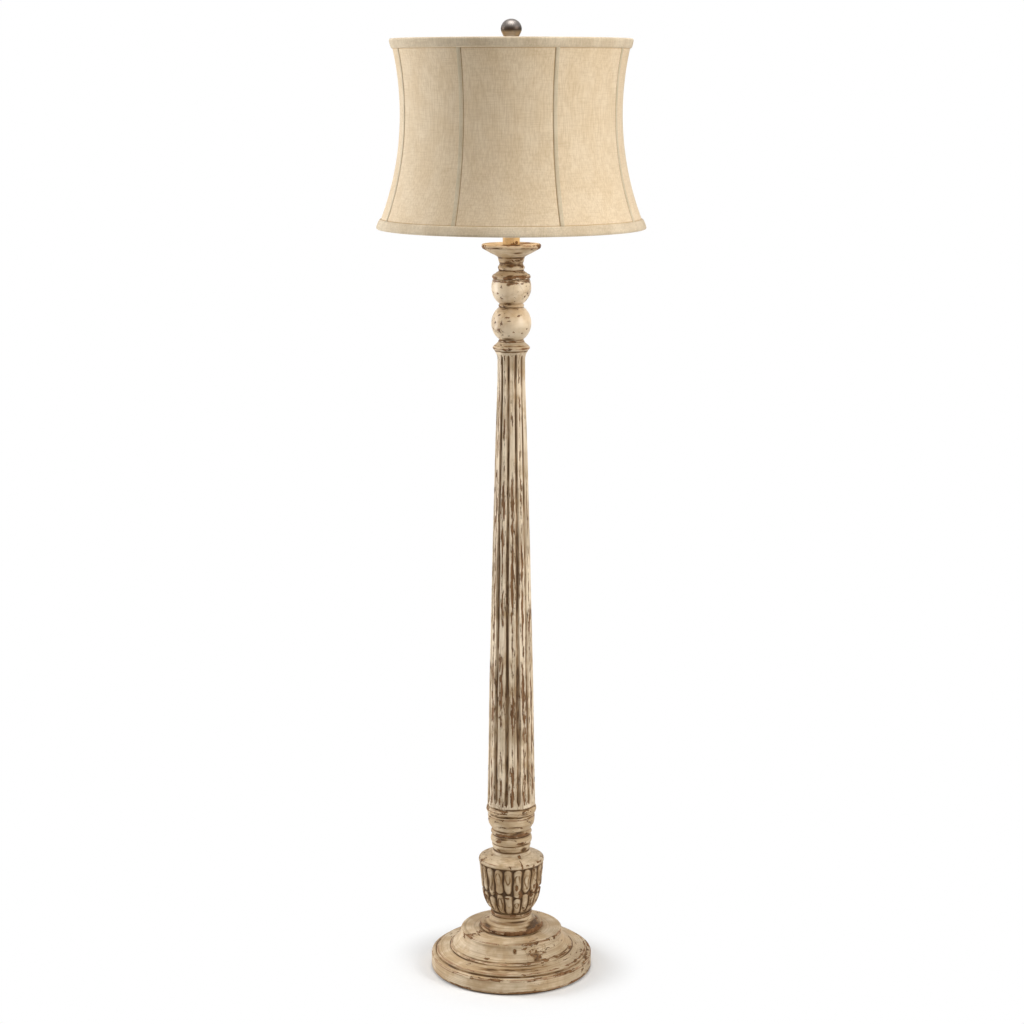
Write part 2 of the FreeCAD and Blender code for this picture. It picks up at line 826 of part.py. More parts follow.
shell_level = socket_level + size.cap_height - size.shell_overlap
shell_inner = size.shell_radius - size.shell_wall
socket_shell = start_body("socket_shell", shell_level)
turn(socket_shell, [
    (shell_inner, NOTHING),
    (size.shell_radius, NOTHING),
    (size.shell_radius, size.shell_height - size.shell_lip * 2),
    (size.shell_radius + size.shell_lip, size.shell_height),
    (shell_inner + size.shell_lip, size.shell_height),
    (shell_inner, size.shell_height - size.shell_lip * 2),
])
liner_outer = shell_inner - size.shell_clearance
socket_liner = tube("socket_liner", shell_level, liner_outer, liner_outer - size.liner_wall,
                    size.shell_height - size.shell_lip * 2)

insulator_top = shell_level + size.insulator_height
socket_insulator = start_body("socket_insulator", shell_level)
insulator_sketch = start_sketch(socket_insulator, "XY_Plane")
draw_circle(insulator_sketch, (NOTHING, NOTHING), size.insulator_radius)
extrude(socket_insulator, "Pad", insulator_sketch, size.insulator_height)
contact_bore = size.contact_radius + size.shell_clearance
drill(socket_insulator, contact_bore, size.contact_recess_depth,
      level=size.insulator_height - size.contact_recess_depth)

screw_shell_inner = size.bulb_base_radius + size.screw_shell_clearance
tube("screw_shell", insulator_top, screw_shell_inner + size.screw_shell_wall, screw_shell_inner,
     size.screw_shell_length)
contact_level = insulator_top - size.contact_recess_depth
contact_step_share = 0.6
contact_tip_share = 0.5
centre_contact = start_body("centre_contact", contact_level)
turn(centre_contact, [
    (NOTHING, NOTHING),
    (size.contact_radius, NOTHING),
    (size.contact_radius, size.contact_height * contact_step_share),
    (size.contact_radius * contact_tip_share, size.contact_height),
    (NOTHING, size.contact_height),
])

# Pipes: from the nut under the base to the coupling, and from there into the socket
enter({"pipe_gap": 0.4})
pipe_joint = coupling_level + size.coupling_length * HALF_SHARE
lower_pipe_level = nut_level - size.pipe_stickout
pipe_bore = size.pipe_radius - size.pipe_wall
half_gap = size.pipe_gap * HALF_SHARE
tube("lower_pipe", lower_pipe_level, size.pipe_radius, pipe_bore, pipe_joint - half_gap - lower_pipe_level)
tube("upper_pipe", pipe_joint + half_gap, size.pipe_radius, pipe_bore,
     socket_level + size.pipe_entry - pipe_joint - half_gap)

# Switch: a shaft across the front of the socket with a turn key on its end
enter({
    "switch_level": 13.0,
    "switch_shaft_radius": 2.4,
    "switch_shaft_inner": 6.0,
    "switch_shaft_reach": 31.0,
    "switch_bearing": 0.06,
    "switch_hole_clearance": 0.6,
    "switch_bore_spare": 0.5,
    "key_length": 17.0,
    "key_width": 14.0,
    "key_thickness": 5.0,
    "key_hub_radius": 4.6,
    "key_hub_length": 7.0,
})
shaft_hole = size.switch_shaft_radius + size.switch_hole_clearance
for piece, radius, start in (
    (socket_shell, shaft_hole, NOTHING),
    (socket_liner, shaft_hole, NOTHING),
    (socket_insulator, size.switch_shaft_radius + size.switch_bearing,
     size.switch_shaft_inner - size.switch_bore_spare),
):
    hole_sketch = start_sketch(piece, "XZ_Plane", start)
    draw_circle(hole_sketch, (NOTHING, size.switch_level), radius)
    extrude(piece, "Pocket", hole_sketch, size.shell_radius + size.overrun, back=True)

switch_height = shell_level + size.switch_level
key_seat = size.switch_shaft_reach - size.key_hub_length
switch_shaft = start_body("switch_shaft", switch_height)
shaft_sketch = start_sketch(switch_shaft, "XZ_Plane", size.switch_shaft_inner)
draw_circle(shaft_sketch, (NOTHING, NOTHING), size.switch_shaft_radius)
extrude(switch_shaft, "Pad", shaft_sketch, size.switch_shaft_reach - size.switch_shaft_inner)

switch_key = start_body("switch_key", switch_height)
hub_sketch = start_sketch(switch_key, "XZ_Plane", key_seat)
draw_circle(hub_sketch, (NOTHING, NOTHING), size.key_hub_radius)
extrude(switch_key, "Pad", hub_sketch, size.key_hub_length)
blade_sketch = start_sketch(switch_key, "YZ_Plane")
key_front = -(key_seat + size.key_length)
key_root_share = 0.8
draw_outline(blade_sketch, [
    (-key_seat - size.key_hub_length * HALF_SHARE, -size.key_hub_radius * key_root_share),
    (-key_seat - size.key_hub_length * HALF_SHARE, size.key_hub_radius * key_root_share),
    (key_front + size.key_width * HALF_SHARE, size.key_width * HALF_SHARE),
    (key_front, NOTHING, key_front + size.key_width * HALF_SHARE, size.key_width * -HALF_SHARE),
])
extrude(switch_key, "Pad", blade_sketch, size.key_thickness, midplane=True)
key_bore_sketch = start_sketch(switch_key, "XZ_Plane", key_seat)
draw_circle(key_bore_sketch, (NOTHING, NOTHING), size.switch_shaft_radius)
extrude(switch_key, "Pocket", key_bore_sketch, size.key_hub_length, back=True)

# Bulb: a solder contact, a screw base and a hollow glass envelope
enter({
    "contact_gap": 0.3,
    "solder_radius": 3.4,
    "solder_height": 4.0,
    "solder_drop": 1.2,
    "solder_clearance": 0.06,
    "bulb_base_height": 25.0,
    "bulb_base_floor": 8.0,
    "bulb_base_wall": 0.5,
    "bulb_glass_radius": 30.0,
    "bulb_glass_height": 88.0,
    "bulb_glass_wall": 1.0,
    "bulb_glass_clearance": 0.05,
})
solder_level = contact_level + size.contact_height + size.contact_gap
bulb_level = solder_level + size.solder_drop
solder_tip_share = 0.6
bulb_contact = start_body("bulb_contact", solder_level)
turn(bulb_contact, [
    (NOTHING, NOTHING),
    (size.solder_radius * solder_tip_share, NOTHING),
    (size.solder_radius, size.solder_drop),
    (size.solder_radius, size.solder_height),
    (NOTHING, size.solder_height),
])
solder_bore = size.solder_radius + size.solder_clearance
base_inner = size.bulb_base_radius - size.bulb_base_wall
bulb_foot_share = 0.5
bulb_slope_share = 0.7
bulb_screw_base = start_body("bulb_screw_base", bulb_level)
turn(bulb_screw_base, [
    (solder_bore, NOTHING),
    (size.bulb_base_radius * bulb_foot_share, NOTHING),
    (size.bulb_base_radius, size.bulb_base_floor * bulb_slope_share),
    (size.bulb_base_radius, size.bulb_base_height),
    (base_inner, size.bulb_base_height),
    (base_inner, size.bulb_base_floor),
    (solder_bore, size.bulb_base_floor),
])
glass_neck = base_inner - size.bulb_glass_clearance
glass_inner = glass_neck - size.bulb_glass_wall
neck_height = size.bulb_base_height - size.bulb_base_floor
globe_centre = size.bulb_glass_height - size.bulb_glass_radius
globe_inner = size.bulb_glass_radius - size.bulb_glass_wall
diagonal_share = math.sqrt(HALF_SHARE)
bulb_glass = start_body("bulb_glass", bulb_level + size.bulb_base_floor)
turn(bulb_glass, [
    (NOTHING, NOTHING),
    (glass_neck, NOTHING),
    (glass_neck, neck_height),
    (size.bulb_glass_radius, globe_centre),
    (size.bulb_glass_radius * diagonal_share, globe_centre + size.bulb_glass_radius * diagonal_share,
     NOTHING, size.bulb_glass_height),
    (NOTHING, size.bulb_glass_height - size.bulb_glass_wall),
    (globe_inner * diagonal_share, globe_centre + globe_inner * diagonal_share, globe_inner, globe_centre),
    (glass_inner, neck_height),
    (glass_inner, size.bulb_glass_wall),
    (NOTHING, size.bulb_glass_wall),
])

# Harp: a bowed wire with slotted feet over the tongues and a stud on its crown
enter({
    "harp_height": 242.0,
    "harp_half_width": 57.0,
    "harp_wire_radius": 1.6,
    "harp_crown_radius": 24.0,
    "harp_crown_flat": 4.0,
    "harp_foot_radius": 3.3,
    "harp_foot_height": 14.0,
    "harp_slot_clearance": 0.3,
    "ferrule_clearance": 0.35,
    "ferrule_wall": 0.8,
    "ferrule_lip": 1.4,
    "ferrule_travel": 12.0,
    "stud_radius": 3.1,
    "stud_height": 14.0,
    "stud_shoulder_radius": 8.0,
    "stud_shoulder_height": 2.0,
})
CROWN_TURN = 53.0
crown_cos = math.cos(math.radians(CROWN_TURN))
crown_sin = math.sin(math.radians(CROWN_TURN))
foot_level = saddle_level + size.saddle_arm_height + size.harp_slot_clearance
shoulder_level = saddle_level + size.harp_height
wire_top = size.harp_height - size.saddle_arm_height - size.harp_slot_clearance
wire_top = wire_top - size.stud_shoulder_height - size.harp_wire_radius
wire_start = size.harp_foot_height - size.harp_wire_radius
straight_top = size.harp_foot_height + size.ferrule_lip + size.ferrule_travel + size.ferrule_clearance * 2
bow_radius = size.harp_half_width - size.harp_crown_flat - size.harp_crown_radius * crown_cos
bow_radius = bow_radius * (1.0 / (1.0 - crown_cos))
bow_level = wire_top - size.harp_crown_radius - (bow_radius - size.harp_crown_radius) * crown_sin
bow_end = (size.harp_half_width - bow_radius * (1.0 - crown_cos), bow_level + bow_radius * crown_sin)


def tangent_arc(start, direction, finish):
    """The arc from a point along a direction to another point, and the
    direction in which it arrives."""
    chord = finish - start
    side = FreeCAD.Vector(-direction.y, direction.x, 0)
    reach = chord.dot(chord) / (2 * chord.dot(side))
    centre = start + side * reach
    middle = (start + finish) * HALF_SHARE - centre
    towards = middle * (abs(reach) / middle.Length)
    spoke = finish - centre
    heading = FreeCAD.Vector(-spoke.y, spoke.x, 0) * math.copysign(1.0 / abs(reach), reach)
    return Part.Arc(start, centre + towards, finish), reach > 0, heading


def draw_path(sketch, corners):
    """A line to the second corner, and tangent arcs through the rest."""
    start = spot(corners[0])
    finish = spot(corners[1])
    sketch.addGeometry(Part.LineSegment(start, finish))
    rules = held(0, 1, corners[0]) + held(0, 2, corners[1])
    heading = (finish - start).normalize()
    last_end = 2
    for index, corner in enumerate(corners[2:], 1):
        start = finish
        finish = spot(corner)
        arc, leftwards, heading = tangent_arc(start, heading, finish)
        sketch.addGeometry(arc)
        first, final = (1, 2) if leftwards else (2, 1)
        rules.append((Sketcher.Constraint("Tangent", index - 1, last_end, index, first), None))
        rules.extend(held(index, final, corner))
        last_end = final
    fix(sketch, rules)


def draw_bow(sketch, start, middle, finish):
    """One arc through three held points."""
    places = [spot(start), spot(middle), spot(finish)]
    sketch.addGeometry(Part.Arc(*places))
    first, final = (1, 2) if turns_left(*places) else (2, 1)
    point = sketch.addGeometry(Part.Point(places[1]), True)
    on_arc = Sketcher.Constraint("PointOnObject", point, 1, 0)
    fix(sketch, held(0, first, start) + held(0, final, finish) + held(point, 1, middle) + [(on_arc, None)])


def sweep(body, path, profile):
    """Sweep a profile along a path."""
    feature = body.newObject("PartDesign::AdditivePipe", f"{body.Name}_sweep")
    feature.Profile = profile
    feature.Spine = path
    return feature


harp = start_body("harp", foot_level)
turn(harp, [
    (NOTHING, wire_top - size.harp_wire_radius * HALF_SHARE),
    (size.stud_shoulder_radius, wire_top - size.harp_wire_radius * HALF_SHARE),
    (size.stud_shoulder_radius, wire_top + size.harp_wire_radius + size.stud_shoulder_height),
    (size.stud_radius, wire_top + size.harp_wire_radius + size.stud_shoulder_height),
    (size.stud_radius, wire_top + size.harp_wire_radius + size.stud_shoulder_height + size.stud_height),
    (NOTHING, wire_top + size.harp_wire_radius + size.stud_shoulder_height + size.stud_height),
])
wire_path = start_sketch(harp, "XZ_Plane")
inflection = (between(size.saddle_half_span, size.harp_half_width, HALF_SHARE),
              between(straight_top, bow_level, HALF_SHARE))
draw_path(wire_path, [
    (size.saddle_half_span, wire_start),
    (size.saddle_half_span, straight_top),
    inflection,
    (size.harp_half_width, bow_level),
    bow_end,
    (size.harp_crown_flat, wire_top),
])
wire_section = start_sketch(harp, "XY_Plane", wire_start)
draw_wire(wire_section, (size.saddle_half_span, NOTHING), size.harp_wire_radius)
wire = sweep(harp, wire_path, wire_section)
foot_sketch = start_sketch(harp, "XY_Plane")
draw_circle(foot_sketch, (size.saddle_half_span, NOTHING), size.harp_foot_radius)
harp_foot = extrude(harp, "Pad", foot_sketch, size.harp_foot_height)
slot_half = size.saddle_thickness * HALF_SHARE + size.harp_slot_clearance
slot_sketch = start_sketch(harp, "XY_Plane")
draw_outline(slot_sketch, box_outline(
    (size.saddle_half_span - slot_half, -size.harp_foot_radius - size.overrun),
    (size.saddle_half_span + slot_half, size.harp_foot_radius + size.overrun)))
harp_slot = extrude(harp, "Pocket", slot_sketch, size.tongue_height + size.harp_slot_clearance, back=True)
mirrored = harp.newObject("PartDesign::Mirrored", "harp_mirror")
mirrored.Originals = [wire, harp_foot, harp_slot]
mirrored.MirrorPlane = (origin_part(harp, "YZ_Plane"), [""])
harp.Tip = mirrored

# Ferrules: sleeves that drop over the feet and lock the harp to its saddle
ferrule_bore = size.harp_foot_radius + size.ferrule_clearance
lip_bore = size.harp_wire_radius + size.ferrule_clearance
ferrule_inner_height = size.harp_foot_height + size.ferrule_clearance
for side, across in (("left", -size.saddle_half_span), ("right", size.saddle_half_span)):
    ferrule = start_body(f"ferrule_{side}", foot_level, across)
    turn(ferrule, [
        (ferrule_bore, NOTHING),
        (ferrule_bore + size.ferrule_wall, NOTHING),
        (ferrule_bore + size.ferrule_wall, ferrule_inner_height),
        (ferrule_bore, ferrule_inner_height + size.ferrule_lip),
        (lip_bore, ferrule_inner_height + size.ferrule_lip),
        (lip_bore, ferrule_inner_height),
        (ferrule_bore, ferrule_inner_height),
    ])

# Shade: fabric with a waist, stretched on a frame of rings and upright wires
enter({
    "seat_gap": 0.3,
    "hub_radius": 13.0,
    "hub_bearing": 0.08,
    "hub_thickness": 1.8,
    "hub_drop": 9.0,
    "shade_height": 311.0,
    "shade_waist_height": 193.3,
    "shade_waist_radius": 185.6,
    "shade_bow_radius": 500.0,
    "wall_band_count": 6,
    "fabric_thickness": 1.2,
    "frame_wire_radius": 1.6,
    "frame_gap": 0.2,
    "hem_height": 16.0,
    "hem_proud": 3.0,
    "hem_fold": 1.0,
    "hem_return": 7.0,
    "tape_width": 6.0,
    "tape_thickness": 0.7,
    "panel_count": 8,
    "spider_arm_count": 3,
    "spider_wire_radius": 1.8,
    "spider_bend_radius": 4.0,
})
SEAM_ANGLE = -159.1
SPIDER_ANGLE = QUARTER_TURN
hub_level = shoulder_level + size.seat_gap
shade_top = hub_level + size.hub_thickness + size.hub_drop
shade_level = shade_top - size.shade_height


def wall(height, inset=NOTHING):
    """A point of the shade's wall at a height, inside its outer face by an inset."""
    bow = size.shade_bow_radius + inset
    rise = height - size.shade_waist_height
    reach = root(bow * bow - rise * rise)
    return (size.shade_waist_radius + size.shade_bow_radius - reach, height)


def band_heights():
    """The heights at which the wall's bands meet, from hem to hem."""
    steps = int(size.wall_band_count.value)
    low = size.hem_height
    high = size.shade_height - size.hem_height
    return [between(low, high, step / steps) for step in range(steps + 1)]


def wall_strip(heights, outer, inner):
    """The outline of a layer of the shade's wall through a row of heights."""
    return [wall(height, outer) for height in heights] + [wall(height, inner) for height in heights[::-1]]


def place_round(body, angle):
    """Turn a piece about its upright axis."""
    body.Placement.Rotation = FreeCAD.Rotation(FreeCAD.Vector(0, 0, 1), angle)


fabric_low = size.hem_fold + size.frame_gap
fabric_high = size.shade_height - fabric_low
shade_cover = start_body("shade_cover", shade_level)
turn(shade_cover, wall_strip([fabric_low] + band_heights() + [fabric_high], NOTHING, size.fabric_thickness))

# Hems: bands folded over the edges, round the fabric and the frame's rings
hem_inset = size.fabric_thickness + size.frame_gap * 2 + size.frame_wire_radius * 2 + size.frame_gap
for name, edge, inward in (("bottom_hem", NOTHING, 1), ("top_hem", size.shade_height, -1)):
    hem = start_body(name, shade_level)
    fold = edge + size.hem_fold * inward
    mouth = edge + size.hem_height * inward
    lip = edge + size.hem_return * inward
    proud = -size.hem_proud
    corner = size.hem_fold * 2 * inward
    turn(hem, [
        wall(mouth, NOTHING),
        wall(mouth - size.hem_fold * inward, proud),
        wall(edge + corner, proud),
        (wall(edge, proud)[0] - size.hem_fold, edge),
        (wall(edge, hem_inset)[0] - size.hem_fold, edge),
        (wall(lip, hem_inset)[0] - size.hem_fold, lip),
        wall(lip, hem_inset),
        wall(fold, hem_inset),
        (wall(fold, NOTHING)[0] + size.frame_gap, fold),
    ])

# Frame: a ring in each hem, upright wires at the seams and a spider under the finial
ring_inset = size.fabric_thickness + size.frame_gap + size.frame_wire_radius
ring_rise = size.hem_fold + size.frame_gap + size.frame_wire_radius
ring_places = {}
for name, height in (("bottom_ring", ring_rise), ("top_ring", size.shade_height - ring_rise)):
    ring_places[name] = wall(height, ring_inset)
    ring = start_body(name, shade_level)
    ring_sketch = start_sketch(ring, "XZ_Plane")
    draw_wire(ring_sketch, ring_places[name], size.frame_wire_radius)
    turn_sketch(ring, ring_sketch)

rib_low = ring_rise + size.frame_wire_radius + size.frame_gap
rib_high = size.shade_height - rib_low
shade_ribs = start_body("shade_ribs", shade_level)
place_round(shade_ribs, SEAM_ANGLE)
rib_path = start_sketch(shade_ribs, "XZ_Plane")
draw_bow(rib_path, wall(rib_low, ring_inset), wall(between(rib_low, rib_high, HALF_SHARE), ring_inset),
         wall(rib_high, ring_inset))
rib_section = start_sketch(shade_ribs, "XY_Plane", rib_low)
draw_wire(rib_section, (wall(rib_low, ring_inset)[0], NOTHING), size.frame_wire_radius)
rib = sweep(shade_ribs, rib_path, rib_section)
repeat_round(shade_ribs, [rib], size.panel_count)

seam_tapes = start_body("seam_tapes", shade_level)
place_round(seam_tapes, SEAM_ANGLE)
tape_turn = math.degrees(size.tape_width.value / size.shade_waist_radius.value)
tape = turn(seam_tapes, wall_strip(band_heights(), -size.tape_thickness, NOTHING), tape_turn)
repeat_round(seam_tapes, [tape], size.panel_count)

hub_bore = size.stud_radius + size.hub_bearing
tube("spider", hub_level, size.hub_radius, hub_bore, size.hub_thickness)

spider_arms = start_body("spider_arms", hub_level)
place_round(spider_arms, SPIDER_ANGLE)
arm_rise = size.hub_thickness - size.spider_wire_radius
arm_reach = ring_places["top_ring"][0] - size.frame_wire_radius * HALF_SHARE
arm_end = shade_level + ring_places["top_ring"][1] - hub_level - size.frame_wire_radius - size.frame_gap
arm_path = start_sketch(spider_arms, "XZ_Plane")
draw_path(arm_path, [
    (size.hub_radius, arm_rise),
    (arm_reach - (arm_end - arm_rise), arm_rise),
    (arm_reach, arm_end),
])
arm_section = start_sketch(spider_arms, "YZ_Plane", size.hub_radius)
draw_wire(arm_section, (NOTHING, arm_rise), size.spider_wire_radius)
arm = sweep(spider_arms, arm_path, arm_section)
repeat_round(spider_arms, [arm], size.spider_arm_count)

# Finial: a threaded insert that rides on the stud, and a neck and ball round it
enter({
    "insert_radius": 5.0,
    "insert_bearing": 0.05,
    "finial_neck_radius": 11.4,
    "finial_neck_height": 8.6,
    "finial_ball_radius": 17.6,
    "finial_ball_sink": 3.0,
    "finial_roof": 2.0,
})
finial_level = hub_level + size.hub_thickness + size.seat_gap
insert_bore = size.stud_radius + size.insert_bearing
insert_length = size.stud_height - size.hub_thickness
tube("finial_insert", finial_level, size.insert_radius, insert_bore, insert_length)
finial_bore = size.insert_radius + size.insert_bearing
finial_neck_shares = [
    (0.86, 0.0),
    (1.0, 0.08),
    (1.0, 0.22),
    (0.80, 0.34),
    (0.72, 0.62, 0.84, 0.90),
    (0.86, 1.0),
]
turning("finial_neck", finial_level, size.finial_neck_radius, size.finial_neck_height,
        finial_neck_shares, finial_bore)
ball_level = finial_level + size.finial_neck_height
finial_ball = start_body("finial_ball", ball_level)
ball_centre = size.finial_ball_radius - size.finial_ball_sink
flat_radius = root(size.finial_ball_radius * size.finial_ball_radius - ball_centre * ball_centre)
pocket_top = insert_length - size.finial_neck_height + size.finial_roof
turn(finial_ball, [
    (finial_bore, NOTHING),
    (flat_radius, NOTHING),
    (size.finial_ball_radius, ball_centre, NOTHING, ball_centre + size.finial_ball_radius),
    (NOTHING, pocket_top),
    (finial_bore, pocket_top),
])

# Every piece is checked before any is written
document.recompute()
for thing in document.Objects:
    if "Invalid" in thing.State or "Error" in thing.State:
        raise ValueError(f"{thing.Name} did not compute: {thing.State}")
os.makedirs("parts", exist_ok=True)
for body in nodes:
    if body.Shape.isNull() or not body.Shape.isValid():
        raise ValueError(f"{body.Label} has no valid solid")
for body in nodes:
    body.Shape.exportStep(f"parts/{body.Label}.step")
print(len(nodes), "pieces written")
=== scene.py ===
"""Floor lamp: a painted, turned and carved wooden stand with a linen shade.

Metres, standing on z = 0, its front towards -Y. Sizes named here are in mm and become metres in the meshes.
"""
import math

import bpy
import numpy as np
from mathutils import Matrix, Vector


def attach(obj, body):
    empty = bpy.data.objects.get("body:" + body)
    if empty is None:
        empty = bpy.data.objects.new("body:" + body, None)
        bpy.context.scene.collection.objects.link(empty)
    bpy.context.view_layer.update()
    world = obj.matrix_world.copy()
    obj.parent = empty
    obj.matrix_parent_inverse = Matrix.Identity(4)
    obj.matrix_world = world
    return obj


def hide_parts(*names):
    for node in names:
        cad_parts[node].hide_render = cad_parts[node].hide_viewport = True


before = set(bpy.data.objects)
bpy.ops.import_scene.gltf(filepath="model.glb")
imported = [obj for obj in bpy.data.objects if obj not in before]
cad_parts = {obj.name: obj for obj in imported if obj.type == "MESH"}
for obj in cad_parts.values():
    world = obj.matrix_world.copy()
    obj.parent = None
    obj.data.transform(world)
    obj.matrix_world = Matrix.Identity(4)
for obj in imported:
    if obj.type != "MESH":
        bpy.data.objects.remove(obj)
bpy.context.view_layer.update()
MM = 0.001
FULL_TURN = 2 * math.pi
FRONT = -math.pi / 2


# Camera
# A long lens under four metres away, level with the upper part of the shade and tipped down eleven degrees,
# so that the base shows its top and the shade only its front.
CAMERA_PLACE = (0.0012, -3.7748, 1.5561)
CAMERA_TILT = 79
LENS = 78.75
SENSOR_WIDTH = 36


def placed(name, data):
    """A new object in the scene."""
    thing = bpy.data.objects.new(name, data)
    bpy.context.scene.collection.objects.link(thing)
    return thing


lens = bpy.data.cameras.new("camera")
lens.lens = LENS
lens.sensor_width = SENSOR_WIDTH
camera = placed("camera", lens)
camera.location = CAMERA_PLACE
camera.rotation_euler = (math.radians(CAMERA_TILT), 0, 0)
bpy.context.scene.camera = camera
bpy.context.scene.view_settings.view_transform = "Standard"


# Studio
# A white floor and white surroundings, with a large soft lamp on each side and one overhead, and the light
# that the shade's lining throws down on the dish. Near the base the floor is a dimmer matt white that shows
# the shadow and turns pure white away from it, so a grey ring round the base is painted shadow over the real
# one.
ROOM_LIGHT = 0.26
HALF_FLOOR = 7.0
FLOOR_LEVEL = -0.0004
SHADOW_REACH = (0.142, 0.240)
WHITE = (1, 1, 1, 1)
FLOOR_MATT = (0.82, 0.82, 0.82, 1)
FLOOR_SHADED = (0.86, 0.86, 0.86, 1)
# name: place, what it faces, width, height, power, colour
LAMPS = {
    "right_softbox": ((2.17, -1.25, 1.75), (0, 0, 1), 0.9, 2, 52, (1, 0.985, 0.96)),
    "left_softbox": ((-2.45, 0.40, 1.25), (0, 0, 0.85), 0.9, 2.2, 62, (0.98, 0.99, 1)),
    "top_softbox": ((0, -0.3, 3.2), (0, 0, 0), 1.2, 1.2, 36, (1, 1, 1)),
    "shade_bounce": ((0, 0, 1.41), (0, 0, 0), 0.24, 0.24, 0.32, (1, 0.86, 0.66)),
}


def tint(red, green, blue):
    """A colour as seen on screen, from 0 to 255, in the light values that shaders take."""
    shares = [level / 255 for level in (red, green, blue)]
    light = [share / 12.92 if share <= 0.04045 else ((share + 0.055) / 1.055) ** 2.4 for share in shares]
    return (*light, 1.0)


def feed(tree, node, inputs):
    """Set or link a node's inputs."""
    for socket, value in inputs.items():
        if isinstance(value, bpy.types.NodeSocket):
            tree.links.new(value, node.inputs[socket])
        else:
            node.inputs[socket].default_value = value


def put(tree, kind, inputs=None, **choices):
    """Add a node, make its choices, feed its inputs and give its outputs."""
    made = tree.nodes.new("ShaderNode" + kind)
    for name, choice in choices.items():
        setattr(made, name, choice)
    feed(tree, made, inputs or {})
    return made.outputs


def seen_directly(tree):
    """1 for rays from the camera, from gloss and through glass, and 0 for the light on things."""
    rays = put(tree, "LightPath")
    gloss = put(tree, "Math", {0: rays["Is Glossy Ray"], 1: rays["Is Transmission Ray"]}, operation="MAXIMUM")
    return put(tree, "Math", {0: rays["Is Camera Ray"], 1: gloss[0]}, operation="MAXIMUM")[0]


room = bpy.data.worlds.new("studio")
room.use_nodes = True
room_tree = room.node_tree
room_level = put(room_tree, "MapRange",
                 {"Value": seen_directly(room_tree), "To Min": ROOM_LIGHT, "To Max": 1.0})
feed(room_tree, room_tree.nodes["Background"], {"Color": WHITE, "Strength": room_level[0]})
bpy.context.scene.world = room

floor_mesh = bpy.data.meshes.new("studio_floor")
floor_corners = [(x * HALF_FLOOR, y * HALF_FLOOR, FLOOR_LEVEL)
                 for x, y in ((-1, -1), (1, -1), (1, 1), (-1, 1))]
floor_mesh.from_pydata(floor_corners, [], [(0, 1, 2, 3)])
floor_paint = bpy.data.materials.new("studio_floor_white")
floor_paint.use_nodes = True
floor_tree = floor_paint.node_tree
floor_tree.nodes.clear()
floor_matt = put(floor_tree, "BsdfDiffuse", {"Color": FLOOR_MATT})
# The near floor's dimmer white, blended out to pure white over SHADOW_REACH, is a painted shadow ring round
# the base.
floor_near = put(floor_tree, "BsdfDiffuse", {"Color": FLOOR_SHADED})
floor_far = put(floor_tree, "Emission", {"Color": WHITE, "Strength": 1.0})
floor_spot = put(floor_tree, "TexCoord")["Object"]
floor_place = put(floor_tree, "VectorMath", {0: floor_spot}, operation="LENGTH")["Value"]
floor_fade = put(floor_tree, "MapRange", {"Value": floor_place, "From Min": SHADOW_REACH[0],
                                          "From Max": SHADOW_REACH[1]}, interpolation_type="SMOOTHSTEP")
floor_seen = put(floor_tree, "MixShader", {0: floor_fade[0], 1: floor_near[0], 2: floor_far[0]})
floor_all = put(floor_tree, "MixShader", {0: seen_directly(floor_tree), 1: floor_matt[0], 2: floor_seen[0]})
put(floor_tree, "OutputMaterial", {"Surface": floor_all[0]})
floor_mesh.materials.append(floor_paint)
placed("studio_floor", floor_mesh)

for name, (place, aim, width, height, power, colour) in LAMPS.items():
    box = bpy.data.lights.new(name, "AREA")
    box.shape = "RECTANGLE"
    box.size = width
    box.size_y = height
    box.energy = power
    box.color = colour
    lamp = placed(name, box)
    lamp.location = place
    lamp.rotation_euler = (Vector(aim) - Vector(place)).to_track_quat("-Z", "Y").to_euler()
    lamp.visible_glossy = name != "shade_bounce"


# Base
# A round base, turned of wood in steps, with a rim, a ledge, a broad slope, a double ring and a cove up to
# its second tier. It is brush-painted cream over brown, glazed, and rubbed through along the edges.
BASE_ROUND = 288
PIPE_BORE = 5.35
BASE_ROWS = [
    (PIPE_BORE, 24), (94, 24), (94, 2), (139.6, 2), (142, 4.2, 0.7), (142, 24.6),
    (138.4, 28.2, 1.3), (134.6, 28.7), (133.8, 27.6), (133, 28.6), (132.6, 32), (130.2, 34.2, 0.7),
    (120, 35.9), (109.4, 38), (107.6, 38, -0.3), (106.6, 41.6, 0.8), (104.6, 42.6), (103.8, 42.2, -0.3),
    (102.4, 45, 0.8), (99, 47.2, -0.3), (93, 55.2, -1), (89.7, 66, -0.9), (88.9, 70, 0.6),
    (86.4, 71.6, 0.6), (72, 72.3), (PIPE_BORE, 73),
]
CREAM_PALE = tint(219, 199, 169)
CREAM_WARM = tint(189, 162, 126)
CREAM_GREY = tint(176, 157, 129)
GLAZE_OLIVE = tint(130, 98, 60)
GLAZE_DARK = tint(72, 49, 26)
BRUSH_BROWN = tint(148, 120, 84)
WOOD_BROWN = tint(110, 77, 47)
WOOD_DARK = tint(68, 45, 26)
WOOD_RED = tint(134, 98, 65)
RUBBED_TAN = tint(146, 108, 76)
CHIP_RIM = tint(178, 150, 112)
PAINT_THICKNESS = 0.45
GLAZE_REACH = 1.1
GLAZE_SPREAD = 0.6
EDGE_REACH = 1.6
FINE_BEND = 1.6
BROAD_BEND = 5.0


